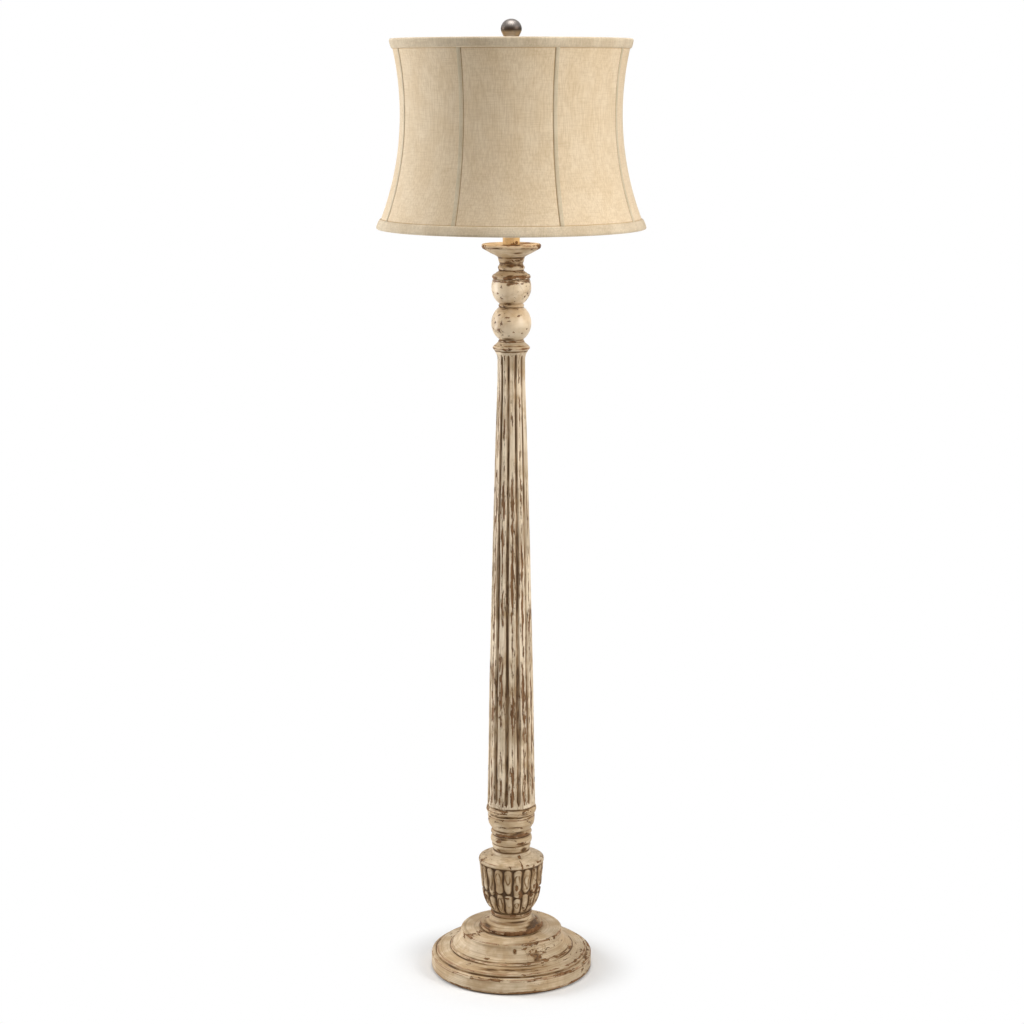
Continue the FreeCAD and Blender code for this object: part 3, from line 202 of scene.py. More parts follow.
class Finish:
    """A material and the nodes that make it."""

    def __init__(self, name):
        self.material = bpy.data.materials.new(name)
        self.material.use_nodes = True
        self.tree = self.material.node_tree
        self.shader = self.tree.nodes["Principled BSDF"]
        self.place = self.node("TexCoord")["Object"]

    def node(self, kind, inputs=None, **choices):
        """The outputs of a new node in this material."""
        return put(self.tree, kind, inputs, **choices)

    def reads(self, attribute):
        """A value that the mesh carries at its points."""
        return self.node("Attribute", attribute_name=attribute)["Fac"]

    def maths(self, operation, first, second=0.0):
        """The product or other result of two values."""
        return self.node("Math", {0: first, 1: second}, operation=operation)[0]

    def adds(self, first, second, share=1.0):
        """The first value and a share of the second."""
        return self.node("Math", {0: second, 1: share, 2: first}, operation="MULTIPLY_ADD")[0]

    def stretched(self, place, scale):
        """A place with each direction scaled by its own amount, in cells a metre."""
        return self.node("VectorMath", {0: place, 1: scale}, operation="MULTIPLY")[0]

    def mottle(self, scale, detail=2.0, rough=0.5, place=None, warp=0.0):
        """Cloudy variation between 0 and 1, with a scale for each direction."""
        at = self.stretched(place or self.place, scale)
        return self.node("TexNoise", {"Vector": at, "Scale": 1.0, "Detail": detail, "Roughness": rough,
                                      "Distortion": warp})["Fac"]

    def between(self, value, low, high, start=0.0, end=1.0):
        """A soft step from start to end as a value goes from low to high."""
        return self.node("MapRange", {"Value": value, "From Min": low, "From Max": high, "To Min": start,
                                      "To Max": end}, interpolation_type="SMOOTHSTEP")[0]

    def blend(self, share, under, over):
        """One colour laid over another by a share."""
        return self.node("Mix", {0: share, 6: under, 7: over}, data_type="RGBA")[2]

    def coated(self, colour, *coats):
        """A colour under coats of others, each laid on by a soft step of a value."""
        for over, value, *step in coats:
            colour = self.blend(self.between(value, *step), colour, over)
        return colour

    def relief(self, height, depth):
        """Raise the surface by a height from 0 to 1, times a depth in mm."""
        raised = self.node("Bump", {"Height": height, "Distance": depth * MM})
        self.set(Normal=raised[0])

    def lets_light_through(self, share, colour):
        """Let a share of the light that falls on one side come out on the other."""
        through = self.node("BsdfTranslucent", {"Color": colour})
        both = self.node("MixShader", {0: share, 1: self.shader.outputs[0], 2: through[0]})
        feed(self.tree, self.tree.nodes["Material Output"], {"Surface": both[0]})

    def set(self, **sockets):
        """Feed the shader's sockets, named with underscores for spaces, and give the material."""
        feed(self.tree, self.shader, {name.replace("_", " "): value for name, value in sockets.items()})
        return self.material


def aged_paint(name, brush, chips, chip_level, rubbing=1.0, dirt=1.0, pale=0.5, crazing=0.5, sheen=0.46,
               scuff=(40, 40, 200), stain=(18, 18, 90), streak=1.0, uneven=1.0, warp=0.35,
               cream_pale=CREAM_PALE, brush_brown=BRUSH_BROWN, gloss=0.22):
    """Cream paint over brown wood: brush marks, brown glaze in the hollows, rubbed edges and chips.

    The mesh says how hollow a place is, how exposed, how worn, and how far it lies along the outline. Brush,
    chips, scuff and stain give their cells a metre.
    """
    paint = Finish(name)
    exposed = paint.reads("exposed")
    parts = paint.node("SeparateXYZ", {0: paint.place})
    along = paint.node("CombineXYZ", {0: parts[0], 1: parts[1], 2: paint.reads("along")})[0]

    marks = paint.mottle(brush, 4.0, 0.62, along, 0.15)
    bands = paint.mottle([cells * 0.4 for cells in brush], 3.0, 0.6, along, 0.3)
    clouds = paint.mottle((26, 26, 26), 4.0, 0.6)
    patches = paint.mottle((11, 11, 11), 2.0, 0.5)
    cream = paint.coated(CREAM_WARM, (cream_pale, clouds, 0.38 - 0.16 * pale, 0.66 - 0.16 * pale),
                         (CREAM_GREY, patches, 0.48, 0.66, 0.0, 0.6),
                         (brush_brown, marks, 0.30, 0.60, 0.55 * streak, 0.0),
                         (brush_brown, bands, 0.56, 0.70, 0.0, 0.45 * streak))

    stains = paint.mottle(stain, 3.0, 0.6, along)
    stained = paint.between(stains, 0.34, 0.64, (1 - 0.6 * uneven) * dirt, (1 + 0.3 * uneven) * dirt)
    # The glaze fills the hollows, and also lays the painted shadow that some pieces' spots carry.
    soaked = paint.adds(paint.maths("MULTIPLY", paint.reads("hollow"), stained), marks, 0.26)
    scuffs = paint.mottle(scuff, 5.0, 0.65, along, 0.2)
    rubbed = paint.adds(paint.maths("MULTIPLY", exposed, 0.55 * rubbing), scuffs, 1.5)

    flakes = paint.mottle(chips, 6.0, 0.62, along, warp)
    groups = paint.mottle((9, 9, 7), 2.0, 0.5)
    lost = paint.adds(paint.adds(flakes, groups, 0.62), exposed, 0.09 * rubbing)
    lost = paint.adds(lost, paint.reads("worn"), 0.30)
    chipped = paint.between(lost, chip_level, chip_level + 0.010)
    painted = paint.coated(cream, (GLAZE_OLIVE, soaked, 0.22, 0.85, 0.0, 0.88),
                           (GLAZE_DARK, soaked, 0.80, 1.30, 0.0, 0.85),
                           (RUBBED_TAN, rubbed, 1.26, 1.36, 0.0, 0.85),
                           (CHIP_RIM, lost, chip_level - 0.030, chip_level, 0.0, 0.30))
    grain = paint.mottle((chips[0] * 1.6, chips[1] * 1.6, chips[2] * 0.7), 3.0, 0.6, along)
    bare = paint.coated(WOOD_BROWN, (WOOD_RED, grain, 0.42, 0.60), (WOOD_DARK, grain, 0.30, 0.46, 0.8, 0.0),
                        (WOOD_DARK, lost, chip_level + 0.006, chip_level + 0.045, 0.85, 0.0))
    colour = paint.blend(chipped, painted, bare)

    cracks = paint.node("TexVoronoi", {"Vector": paint.stretched(along, (34, 34, 30)), "Scale": 1.0},
                        feature="DISTANCE_TO_EDGE")["Distance"]
    cracked = paint.maths("MULTIPLY", paint.between(cracks, 0.0, 0.020, 1.0, 0.0),
                          paint.between(groups, 0.50, 0.62, 0.0, crazing))
    colour = paint.blend(cracked, colour, GLAZE_OLIVE)

    height = paint.adds(paint.maths("MULTIPLY", marks, 0.35), chipped, -1.0)
    paint.relief(paint.adds(height, cracked, -0.5), PAINT_THICKNESS)
    roughness = paint.adds(paint.between(marks, 0.3, 0.7, sheen, sheen + 0.12), chipped, 0.2)
    return paint.set(Base_Color=colour, Roughness=roughness, Specular_IOR_Level=gloss)


def bored(rows):
    """The outline of a turning, closed on the pipe's bore at both its ends."""
    return [(PIPE_BORE, rows[0][1]), *rows, (PIPE_BORE, rows[-1][1])]


def run_along(points):
    """The length along an outline at each of its points."""
    return np.concatenate(([0], np.cumsum(np.hypot(*np.diff(points, axis=0).T))))


def softened(values, sigma):
    """Values smoothed along their row, with the two ends held."""
    reach = max(1, int(sigma * 3))
    weights = np.exp(-0.5 * (np.arange(-reach, reach + 1) / sigma) ** 2)
    head = 2 * values[0] - values[reach:0:-1]
    tail = 2 * values[-1] - values[-2:-reach - 2:-1]
    return np.convolve(np.concatenate((head, values, tail)), weights / weights.sum(), "valid")


def outline_points(rows, step, soften=0.0):
    """Points a step apart along rows of (radius, height, bulge), with their corners softened.

    A bulge bows the line that ends at its row outwards, or inwards if it is negative.
    """
    dense = [np.array(rows[0][:2], float)]
    for radius, height, *bulge in rows[1:]:
        start = dense[-1]
        chord = np.array((radius, height)) - start
        length = np.hypot(*chord)
        shares = np.linspace(0, 1, max(2, int(length / step * 4) + 1))[1:, None]
        if not bulge:
            dense.extend(start + chord * shares)
            continue
        half_angle = 2 * math.atan(2 * abs(bulge[0]) / length)
        arc_radius = length / 2 / math.sin(half_angle)
        turn = (2 * shares - 1) * half_angle
        forward = arc_radius * np.sin(turn) + length / 2
        rise = math.copysign(arc_radius, bulge[0]) * (np.cos(turn) - math.cos(half_angle))
        dense.extend(start + (chord * forward + np.array((chord[1], -chord[0])) * rise) / length)
    dense = np.array(dense)
    run = run_along(dense)
    even = np.linspace(0, run[-1], int(run[-1] / step) + 1)
    points = [np.interp(even, run, dense[:, axis]) for axis in (0, 1)]
    return np.column_stack([softened(values, soften / step) if soften else values for values in points])


def bend_of(points, reach):
    """How sharply an outline turns at each point, above 0 on an edge and below 0 in a hollow."""
    index = np.arange(len(points))
    before = points - points[np.maximum(index - reach, 0)]
    after = points[np.minimum(index + reach, len(points) - 1)] - points
    cross = before[:, 0] * after[:, 1] - before[:, 1] * after[:, 0]
    return np.arctan2(cross, (before * after).sum(axis=1))[:, None]


def near_spots(points, spots, reach):
    """1 at the given spots of an outline, falling to 0 within a reach."""
    closeness = np.zeros((len(points), 1))
    for spot in spots:
        gap = np.hypot(*(points - spot).T)[:, None]
        closeness = np.maximum(closeness, np.exp(-(gap / reach) ** 2))
    return closeness


def patch_weights(angles, points, patches):
    """1 in the middle of patches of (degrees from the front, height, half width, half height), 0 off them."""
    worn = np.zeros((len(points), len(angles)))
    for turn, height, half_width, half_height in patches:
        gap = np.remainder(angles - FRONT - math.radians(turn) + math.pi, FULL_TURN) - math.pi
        across = gap * points[:, :1] / half_width
        up = (points[:, 1:] - height) / half_height
        worn = np.maximum(worn, np.exp(-(across ** 2 + up ** 2)))
    return worn


def hand_wobble(angles, heights, amount, seed):
    """The slow unevenness of hand work over a column of heights and a ring of angles."""
    wobble = 0.0
    for waves, share in ((2, 0.5), (3, 0.3), (5, 0.2)):
        phase = seed * 1.7 + waves * 2.3
        wobble = wobble + share * np.sin(waves * angles + phase + 1.5 * np.sin(heights / 23.0 + phase))
    return wobble * amount


def ring_angles(count):
    """Equal steps round a whole turn."""
    return FULL_TURN * np.arange(count) / count


def ring_mesh(name, heights, angles, radii, fields=None, centre=0.0):
    """A closed mesh of rings, with their heights, radii round a centre on X and values at their points."""
    rows, around = radii.shape
    spots = np.broadcast_arrays(radii * np.cos(angles) + centre, radii * np.sin(angles), heights)
    spots = np.stack(spots, axis=-1) * MM
    row, turn = np.arange(rows)[:, None], np.arange(around)[None, :]
    next_row, next_turn = (row + 1) % rows, (turn + 1) % around
    faces = np.stack([row * around + turn, row * around + next_turn,
                      next_row * around + next_turn, next_row * around + turn], axis=-1)
    mesh = bpy.data.meshes.new(name)
    mesh.vertices.add(rows * around)
    mesh.vertices.foreach_set("co", spots.ravel())
    mesh.loops.add(faces.size)
    mesh.loops.foreach_set("vertex_index", faces.ravel())
    mesh.polygons.add(rows * around)
    mesh.polygons.foreach_set("loop_start", np.arange(rows * around) * 4)
    mesh.update(calc_edges=True)
    mesh.validate()
    mesh.polygons.foreach_set("use_smooth", np.ones(len(mesh.polygons), bool))
    for field, values in (fields or {}).items():
        layer = mesh.attributes.new(field, "FLOAT", "POINT")
        layer.data.foreach_set("value", np.broadcast_to(values, radii.shape).ravel().astype(np.float32))
    return mesh


def painted_mesh(name, points, angles, radii, hollow, exposed, worn):
    """A mesh of rings that carries what aged paint reads from it."""
    return ring_mesh(name, points[:, 1:], angles, radii, {
        "hollow": hollow, "exposed": np.clip(exposed, 0, 1), "along": run_along(points)[:, None] * MM,
        "worn": worn})


def add_piece(name, mesh, material, slot, body, *nodes):
    """A piece of the lamp with its finish, on its body, in the place of its CAD nodes."""
    piece = placed(name, mesh)
    mesh.materials.append(material)
    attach(piece, body)
    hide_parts(*nodes)
    return piece


def turned(name, rows, material, node, around=192, step=0.8, soften=0.9, wobble=0.12, crevices=(), edges=(),
           patches=(), glaze_and_shadow_spots=(), seat_dirt=1.1, slot="antique_cream_wood"):
    """A turned and painted piece, from the rows of its outline round to its bore."""
    points = outline_points(rows, step, soften)
    angles = ring_angles(around)
    fine = bend_of(points, max(1, round(FINE_BEND / step)))
    broad = bend_of(points, max(2, round(BROAD_BEND / step)))
    hollow = (np.clip(-fine / 0.7, 0, 1) * 0.73 + np.clip(-broad / 1.6, 0, 1) * 0.41) * seat_dirt
    seats = near_spots(points, crevices, GLAZE_REACH + GLAZE_SPREAD * seat_dirt) * seat_dirt
    hollow = np.maximum(hollow, seats)
    exposed = np.clip(fine / 0.8, 0, 1) + np.clip(broad / 2.4, 0, 1) * 0.3
    exposed = np.maximum(exposed, near_spots(points, edges, EDGE_REACH)) * (1 - np.clip(hollow, 0, 1))
    # Spots deepen the glaze; where a piece puts them for shadow, as on the collar, they are painted shade.
    hollow = np.clip(np.maximum(hollow, 1.3 * patch_weights(angles, points, glaze_and_shadow_spots)), 0, 1.3)
    seed = sum(ord(letter) for letter in name) % 17
    outer = np.clip((points[:, :1] - 12.0) / 8.0, 0, 1)
    radii = points[:, :1] - wobble + outer * hand_wobble(angles, points[:, 1:], wobble, seed)
    mesh = painted_mesh(name, points, angles, radii, hollow, exposed, patch_weights(angles, points, patches))
    return add_piece(name, mesh, material, slot, "stand", node)


base_paint = aged_paint("base_paint", (9, 9, 620), (60, 60, 120), 0.985, rubbing=1.25, dirt=1.2, pale=0.0,
                        uneven=1.2)
base = turned(
    "turned_base", BASE_ROWS, base_paint, "base_disc", BASE_ROUND, 0.7, 0.6, 0.15,
    crevices=[(133.8, 27.8), (133.2, 29.6), (108.4, 37.8), (103.8, 42.2), (55.2, 73), (57, 72.8),
              (141.4, 2.6)],
    edges=[(140.8, 27), (142, 24.6), (141.8, 5), (130.8, 34), (106.4, 41.8), (88.8, 70)],
    patches=[(4, 60, 3, 4), (21, 58, 1.6, 2), (24, 60, 2, 1.6), (28, 56, 1.6, 2.2),
             (22, 52, 2.2, 1.6), (26, 50, 3, 2.6), (31, 47, 2.6, 2), (24, 45, 2.4, 1.4), (34, 43, 2.6, 1.4),
             (30, 39.6, 3.6, 1), (23, 66, 1.6, 1.6),
             (-26, 46, 5, 2), (-58, 71, 14, 2), (-12, 27, 26, 1.5), (38, 27, 22, 1.5), (-40, 5, 30, 2.2),
             (5, 4.6, 40, 2.2), (52, 4.6, 24, 2.2), (-68, 66, 6, 5), (150, 45, 12, 8), (-140, 34, 18, 4),
             (100, 27, 30, 1.5), (205, 60, 9, 5)],
    glaze_and_shadow_spots=[(4, 60, 3, 4), (27, 49, 7, 6), (0, 36, 60, 1.2), (-35, 39, 40, 1), (45, 29.5, 60, 1),
          (-10, 29.5, 50, 0.8), (20, 71, 30, 0.8), (170, 45, 30, 1.5), (-110, 29.5, 60, 1.2)],
    seat_dirt=0.95)

DRILL_SIDES = 48
DRILL_REACH = 150.0
INLET_HEIGHT = 13.0
# name: radius, where it starts
CORD_HOLES = {"bushing_seat": (7.9, 136), "bushing_bore": (5.3, 85)}


def evaluated_mesh(thing):
    """The mesh that an object shows, with its modifiers or its curve's bevel applied."""
    bpy.context.view_layer.update()
    return bpy.data.meshes.new_from_object(thing.evaluated_get(bpy.context.evaluated_depsgraph_get()))


for name, (radius, start) in CORD_HOLES.items():
    spots = [(radius * math.cos(turn) * MM, y * MM, (INLET_HEIGHT + radius * math.sin(turn)) * MM)
             for y in (start, DRILL_REACH) for turn in ring_angles(DRILL_SIDES)]
    faces = [tuple(range(DRILL_SIDES))[::-1], tuple(range(DRILL_SIDES, 2 * DRILL_SIDES))]
    faces += [(k, (k + 1) % DRILL_SIDES, DRILL_SIDES + (k + 1) % DRILL_SIDES, DRILL_SIDES + k)
              for k in range(DRILL_SIDES)]
    drill_mesh = bpy.data.meshes.new(name)
    drill_mesh.from_pydata(spots, [], faces)
    drill = placed(name, drill_mesh)
    carve = base.modifiers.new(name, "BOOLEAN")
    carve.object = drill
    carve.operation = "DIFFERENCE"
    carve.solver = "EXACT"
    carved = evaluated_mesh(base)
    base.modifiers.remove(carve)
    base.data = carved
    bpy.data.objects.remove(drill)


# Base collar and urn
# A turned disc stands on the base, and on it an urn carved with two tiers of twenty reeds. The reeds end in
# points where the tiers meet, and the glaze is darkest between them.
COLLAR_ROWS = bored([
    (52.8, 73), (55.2, 74.6, 0.5), (55.2, 79.4), (53.6, 81.9, 0.6), (50.8, 82.8),
    (43, 86.2, -1), (37.4, 93.4, -1.4), (35.2, 98.6), (36.6, 100.8, 0.5), (36.3, 103.8, 0.4),
    (34, 105.6),
])
collar_paint = aged_paint("collar_paint", (10, 10, 560), (62, 62, 130), 0.945, rubbing=1.6, dirt=1.3,
                          pale=-0.35)
# The two broad spots on the right of its top slope, at 48 and 66 degrees, are painted shadow; its other spots
# are glaze.
turned("base_collar_disc", COLLAR_ROWS, collar_paint, "base_collar",
       crevices=[(53.4, 73.2), (34.6, 105.4), (35.2, 98.6)], edges=[(55.2, 79.6), (55, 74.8), (36.6, 102)],
       glaze_and_shadow_spots=[(48, 83, 13, 2.2), (15, 79, 34, 1.6), (66, 86, 16, 4), (-60, 82, 14, 1.6), (20, 92, 20, 2)],
       patches=[(10, 77, 30, 3.5), (-30, 77, 16, 3), (60, 78, 14, 3), (8, 104.8, 8, 1.4), (150, 77, 22, 3),
                (-110, 77, 18, 3)])

REEDS = 20
REED_SLICES = 18
REED_PHASE = math.radians(-87)
REED_DEPTH = 3.3
REED_TOP = 195.0
REED_MEET = 145.5
REED_FOOT = 107.5
LEAF_DEPTH = 0.9
CARVED_STEP = 0.75
CARVED_WOBBLE = 0.1
URN_ROWS = bored([
    (31.4, 105.6), (32.4, 106.6, 0.3), (36.6, 109.2, 0.2), (42.6, 115.8, 0.6),
    (48.9, 129.6, 0.6), (52.4, 148.2, 0.5), (54.2, 167, 0.3), (56.2, 186, 0.1), (57, 195.6),
    (57.3, 197.2, 0.2), (57.2, 200.6, 0.5), (55.6, 203.4, 0.4), (46.4, 206.9, 0.2), (37.6, 210, -0.6),
    (33.6, 213.4, -0.9), (32, 218, -0.3),
])


def carved_reeds(angle, height, wander):
    """How far a reed stands out of the ground, and how deep the leaf cut in its face is, from 0 to 1.

    Each reed has its own number, which varies where it ends, how broad it is and how its leaf is cut.
    """
    place = (angle - REED_PHASE) * REEDS / FULL_TURN + wander
    number = np.floor(place)
    across = 2 * (place - number) - 1
    meet = REED_MEET + 4.0 * np.sin(number * 2.1 + 0.6)
    upper = height > meet
    low = np.where(upper, meet + 0.1, REED_FOOT)
    high = np.where(upper, REED_TOP, meet - 0.1)
    from_low = np.clip((height - low) / np.where(upper, 7.0 + 3.5 * np.sin(number * 3.7), 3.0), 0, 1)
    from_high = np.clip((high - height) / np.where(upper, 7.5, 6.0 + 2.0 * np.sin(number * 2.9)), 0, 1)
    tip = np.sqrt(1 - (1 - from_high) ** 2)
    foot = np.where(upper, from_low ** 0.7, np.sqrt(1 - (1 - from_low) ** 2))
    ends = np.minimum(tip, foot)
    width = np.maximum((0.90 + 0.05 * np.sin(number * 1.9 + height / 15.0)) * ends, 1e-4)
    swell = np.clip(1 - (across / width) ** 2, 0, 1) ** 0.42 * np.minimum(1, ends * 1.6)
    leaf_top = high - 7.0 - 2.5 * np.sin(number * 2.3)
    leaf_foot = low + np.where(upper, 14.0, 9.0) + 7.0 * np.sin(number * 1.7)
    leaf_place = np.clip((height - leaf_foot) / np.maximum(leaf_top - leaf_foot, 1.0), 0, 1)
    leaf_width = 0.52 * np.sin(np.pi * leaf_place ** 1.4) ** 0.6 * width
    leaf = np.exp(-((np.abs(across + 0.10 * np.sin(height / 4.0 + number)) - leaf_width) / 0.13) ** 2)
    leaf = leaf * np.clip(np.sin(np.pi * leaf_place) * 4, 0, 1)
    return swell, leaf * (0.55 + 0.45 * np.sin(number * 3.1 + height / 9.0))


urn_points = outline_points(URN_ROWS, CARVED_STEP, 1.1 * CARVED_STEP)
urn_angles = ring_angles(REEDS * REED_SLICES)
urn_radius, urn_height = urn_points[:, :1], urn_points[:, 1:]
urn_outside = urn_radius > 25
wander = 0.045 * np.sin(urn_height / 13.0 + 3 * urn_angles) + 0.03 * np.sin(urn_height / 4.3 + 7 * urn_angles)
swell, leaf = carved_reeds(urn_angles, urn_height, wander)
in_reeds = (urn_height > REED_FOOT) & (urn_height < REED_TOP) & urn_outside
reed_fade = (np.clip((REED_TOP + 1.0 - urn_height) / 2.0, 0, 1)
             * np.clip((urn_height - REED_FOOT + 1.0) / 2.5, 0, 1) * urn_outside)
sunk = (1 - swell) * reed_fade
leaf = np.clip(leaf, 0, 1) * reed_fade * in_reeds
urn_radii = (urn_radius - REED_DEPTH * sunk - LEAF_DEPTH * leaf - CARVED_WOBBLE
             + hand_wobble(urn_angles, urn_height, CARVED_WOBBLE, 5))
urn_bend = bend_of(urn_points, 3)
urn_hollow = (np.clip(-urn_bend / 1.6, 0, 1) + 1.1 * np.clip(sunk ** 1.35 * 1.35 - 0.04, 0, 1) + 0.8 * leaf
              + 0.4 * np.clip(sunk * 5 - 4, 0, 1) + 0.20 * in_reeds)
urn_seats = near_spots(urn_points, [(57.0, 195.8), (33.2, 106.4), (32.0, 217.6)], 1.5)
urn_hollow = np.maximum(urn_hollow, urn_seats)
urn_exposed = np.clip(urn_bend / 0.7, 0, 1) + 0.55 * reed_fade * np.clip(swell - 0.55, 0, 1)
urn_exposed = (np.maximum(urn_exposed, near_spots(urn_points, [(56.8, 202.4)], EDGE_REACH))
               * (1 - np.clip(urn_hollow, 0, 1)))
urn_worn = patch_weights(urn_angles, urn_points, [
    (18, 148, 7, 12), (10, 162, 4, 9), (-32, 150, 4, 6), (-10, 142, 8, 3), (40, 146, 6, 6), (24, 212, 4, 4),
    (20, 206, 1.6, 9), (58, 150, 6, 8), (120, 150, 8, 9), (-120, 145, 9, 7), (180, 160, 6, 12),
    (-70, 140, 7, 4)])
urn_paint = aged_paint("urn_paint", (70, 70, 160), (110, 110, 75), 0.905, rubbing=1.1, dirt=1.25, pale=0.15,
                       stain=(40, 40, 40), uneven=0.4)
urn_mesh = painted_mesh("carved_urn", urn_points, urn_angles, urn_radii, np.clip(urn_hollow, 0, 1.5),
                        urn_exposed, urn_worn)
add_piece("carved_urn", urn_mesh, urn_paint, "antique_cream_wood", "stand", "urn")


# Spool and foot ring
# Two turnings between the urn and the column: a spool with a bead, a groove and a cup, and the ring on which
# the column stands. The pipe coupling hides inside them.
SPOOL_ROWS = bored([
    (32, 218), (32.6, 221), (34.4, 226.2), (34, 229), (33.2, 230.4, -0.2),
    (35.6, 233.2, 0.6), (36, 240.4, 0.7), (34.2, 244.2, 0.5), (32.6, 245.6), (32.6, 247.2),
    (35.4, 248.6, 0.3), (35.6, 252, 0.7), (33.6, 254.2, 0.3), (33.2, 255.6), (36.4, 259.7, -0.4),
    (39.5, 265.2, -0.3), (41, 272.6, 0.3), (41.2, 281.4, 0.2), (40.2, 284.4, 0.2), (39.6, 286),
])
RING_ROWS = bored([
    (41.4, 286), (43, 288.6, 0.4), (43.8, 294, 0.7), (41.8, 298.4, 0.7),
    (40.6, 299),
])
spool_paint = aged_paint("spool_paint", (12, 12, 520), (75, 75, 140), 0.94, rubbing=1.2, dirt=1.15, pale=-0.2,
                         stain=(34, 34, 100), uneven=1.3)
turned("neck_spool_turning", SPOOL_ROWS, spool_paint, "neck_spool",
       crevices=[(32.2, 218.6), (33.4, 230.2), (32.6, 246.4), (33.2, 255.2), (39.8, 285.6)],
       edges=[(41.2, 281)],
       patches=[(-25, 250, 10, 3.5), (0, 249, 9, 3), (35, 250, 12, 4), (30, 236, 8, 3), (-40, 238, 7, 2.5),
                (12, 228, 3, 2), (48, 222, 4, 4), (150, 250, 14, 4), (-120, 249, 12, 4), (100, 236, 8, 3)],
       glaze_and_shadow_spots=[(28, 256, 16, 1.8), (-25, 285, 22, 1), (30, 284.6, 16, 0.9), (40, 232, 14, 2.4),
             (-20, 243, 16, 1.6), (20, 253, 20, 1.6), (-34, 222, 8, 3), (42, 222, 6, 5), (0, 268, 22, 1.4),
             (160, 250, 20, 3)], seat_dirt=0.85)
turned("foot_ring_turning", RING_ROWS, spool_paint, "foot_ring", crevices=[(41.6, 286.4), (40.8, 298.8)],
       edges=[(43.6, 293)],
       patches=[(-22, 297.6, 7, 1), (38, 290, 8, 0.9), (120, 294, 12, 2.5), (-130, 295, 10, 2.5)],
       glaze_and_shadow_spots=[(-10, 288, 24, 1), (40, 298, 12, 1.2)], seat_dirt=0.85)


# Fluted column
# One long tapered turning with twelve carved flutes that stop in round ends above the ring and below the
# flare. Long slivers of paint have gone from the ridges, and the flutes are dark with glaze.
FLUTES = 12
FLUTE_SLICES = 26
FLUTE_PHASE = math.radians(18)
FLUTE_HALF_SHARE = 0.40
FLUTE_DEPTH_SHARE = 0.115
FLUTE_LOW = 302.6
FLUTE_HIGH = 1097.0
FLUTE_FOOT_END = 9.0
FLUTE_HEAD_END = 7.0
RIDGE_FALL = 0.7
OUTSIDE_RADIUS = 15
PLAIN_STRETCH = (330, 1070)
WORN_HEIGHT = 860.0
WORN_REACH = 230.0
COLUMN_ROWS = bored([
    (41.6, 299), (42.1, 300, 0.2), (42.1, 305), (40.1, 415.6), (38.3, 524),
    (35.5, 632), (33.1, 738), (30.2, 843), (27.3, 947.5), (25, 1016), (23.8, 1050),
    (23.7, 1086), (24.6, 1092.6, -0.2), (26.8, 1098, -0.3), (28.6, 1101, 0.1), (28.8, 1101.8),
])

# The outline's points stay close together at the flutes' ends, and only one in four is kept between them.
column_points = outline_points(COLUMN_ROWS, CARVED_STEP, 1.2 * CARVED_STEP)
in_stretch = (column_points[:, 1] > PLAIN_STRETCH[0]) & (column_points[:, 1] < PLAIN_STRETCH[1])
spare = in_stretch & (column_points[:, 0] > OUTSIDE_RADIUS) & (np.arange(len(column_points)) % 4 != 0)
column_points = column_points[~spare]
column_radius, column_height = column_points[:, :1], column_points[:, 1:]
column_angles = ring_angles(FLUTES * FLUTE_SLICES)
shaft = column_radius > OUTSIDE_RADIUS

flute_place = (column_angles - FLUTE_PHASE) * FLUTES / FULL_TURN + 0.5
flute = np.floor(flute_place).astype(int) % FLUTES
drift = (0.020 * np.sin(column_height / 61.0 + flute * 1.9)
         + 0.010 * np.sin(column_height / 23.0 + flute * 4.1))
across = 2 * np.abs(flute_place - np.floor(flute_place) - 0.5 + drift)
flute_low = FLUTE_LOW + 2.6 * (1 + np.sin(flute * 2.7 + 1.0))
flute_high = FLUTE_HIGH - 1.2 * (1 + np.sin(flute * 3.9 + 0.4))
from_low = np.clip((column_height - flute_low) / FLUTE_FOOT_END, 0, 1)
from_high = np.clip((flute_high - column_height) / FLUTE_HEAD_END, 0, 1)
ends = np.minimum(from_low ** 0.75, np.sqrt(1 - (1 - from_high) ** 2))
run_out = np.minimum(1, ends * 1.5)
uneven_width = (1 + 0.10 * np.sin(column_height / 47.0 + flute * 5.3)
                + 0.04 * np.sin(column_height / 11.0 + flute * 1.3))
flute_width = np.maximum(FLUTE_HALF_SHARE * uneven_width * ends, 1e-4)
scoop = np.clip(1 - (across / flute_width) ** 2, 0, 1) ** 0.55 * (ends > 0) * shaft
ridge_place = np.clip((across - flute_width) / np.maximum(1 - flute_width, 1e-3), 0, 1)
crown = RIDGE_FALL * ridge_place ** 1.5 * shaft * run_out * (scoop <= 0)
column_radii = (column_radius - FLUTE_DEPTH_SHARE * column_radius * run_out * scoop - crown - CARVED_WOBBLE
                + shaft * hand_wobble(column_angles, column_height, CARVED_WOBBLE, 3))

seats = near_spots(column_points, [(42.0, 299.4), (28.6, 1101.6)], 2.0)
fluted = (ends > 0.2) * shaft
on_ridge = ridge_place ** 1.5 * fluted
near_edge = np.exp(-((across - flute_width) / 0.10) ** 2) * fluted
column_hollow = np.where(scoop > 0.02, np.maximum(0.12 + scoop ** 2.4, seats) * shaft,
                         np.maximum(seats, 0.24 * on_ridge))
column_exposed = np.clip(0.35 * near_edge + 0.30 * ridge_place * (ends > 0.2), 0, 1) * (scoop < 0.35)
column_worn = (0.44 + 0.20 * np.exp(-((column_height - WORN_HEIGHT) / WORN_REACH) ** 2)) * on_ridge
column_paint = aged_paint("column_paint", (360, 360, 8), (280, 280, 36), 0.952, dirt=1.15, pale=0.6,
                          scuff=(300, 300, 26), stain=(90, 90, 14), warp=0.0, gloss=0.3,
                          cream_pale=tint(238, 220, 192), brush_brown=tint(140, 108, 74))
column_mesh = painted_mesh("fluted_shaft", column_points, column_angles, column_radii,
                           np.clip(column_hollow, 0, 1.2), column_exposed, column_worn)
add_piece("fluted_shaft", column_mesh, column_paint, "antique_cream_wood", "stand", "fluted_column")


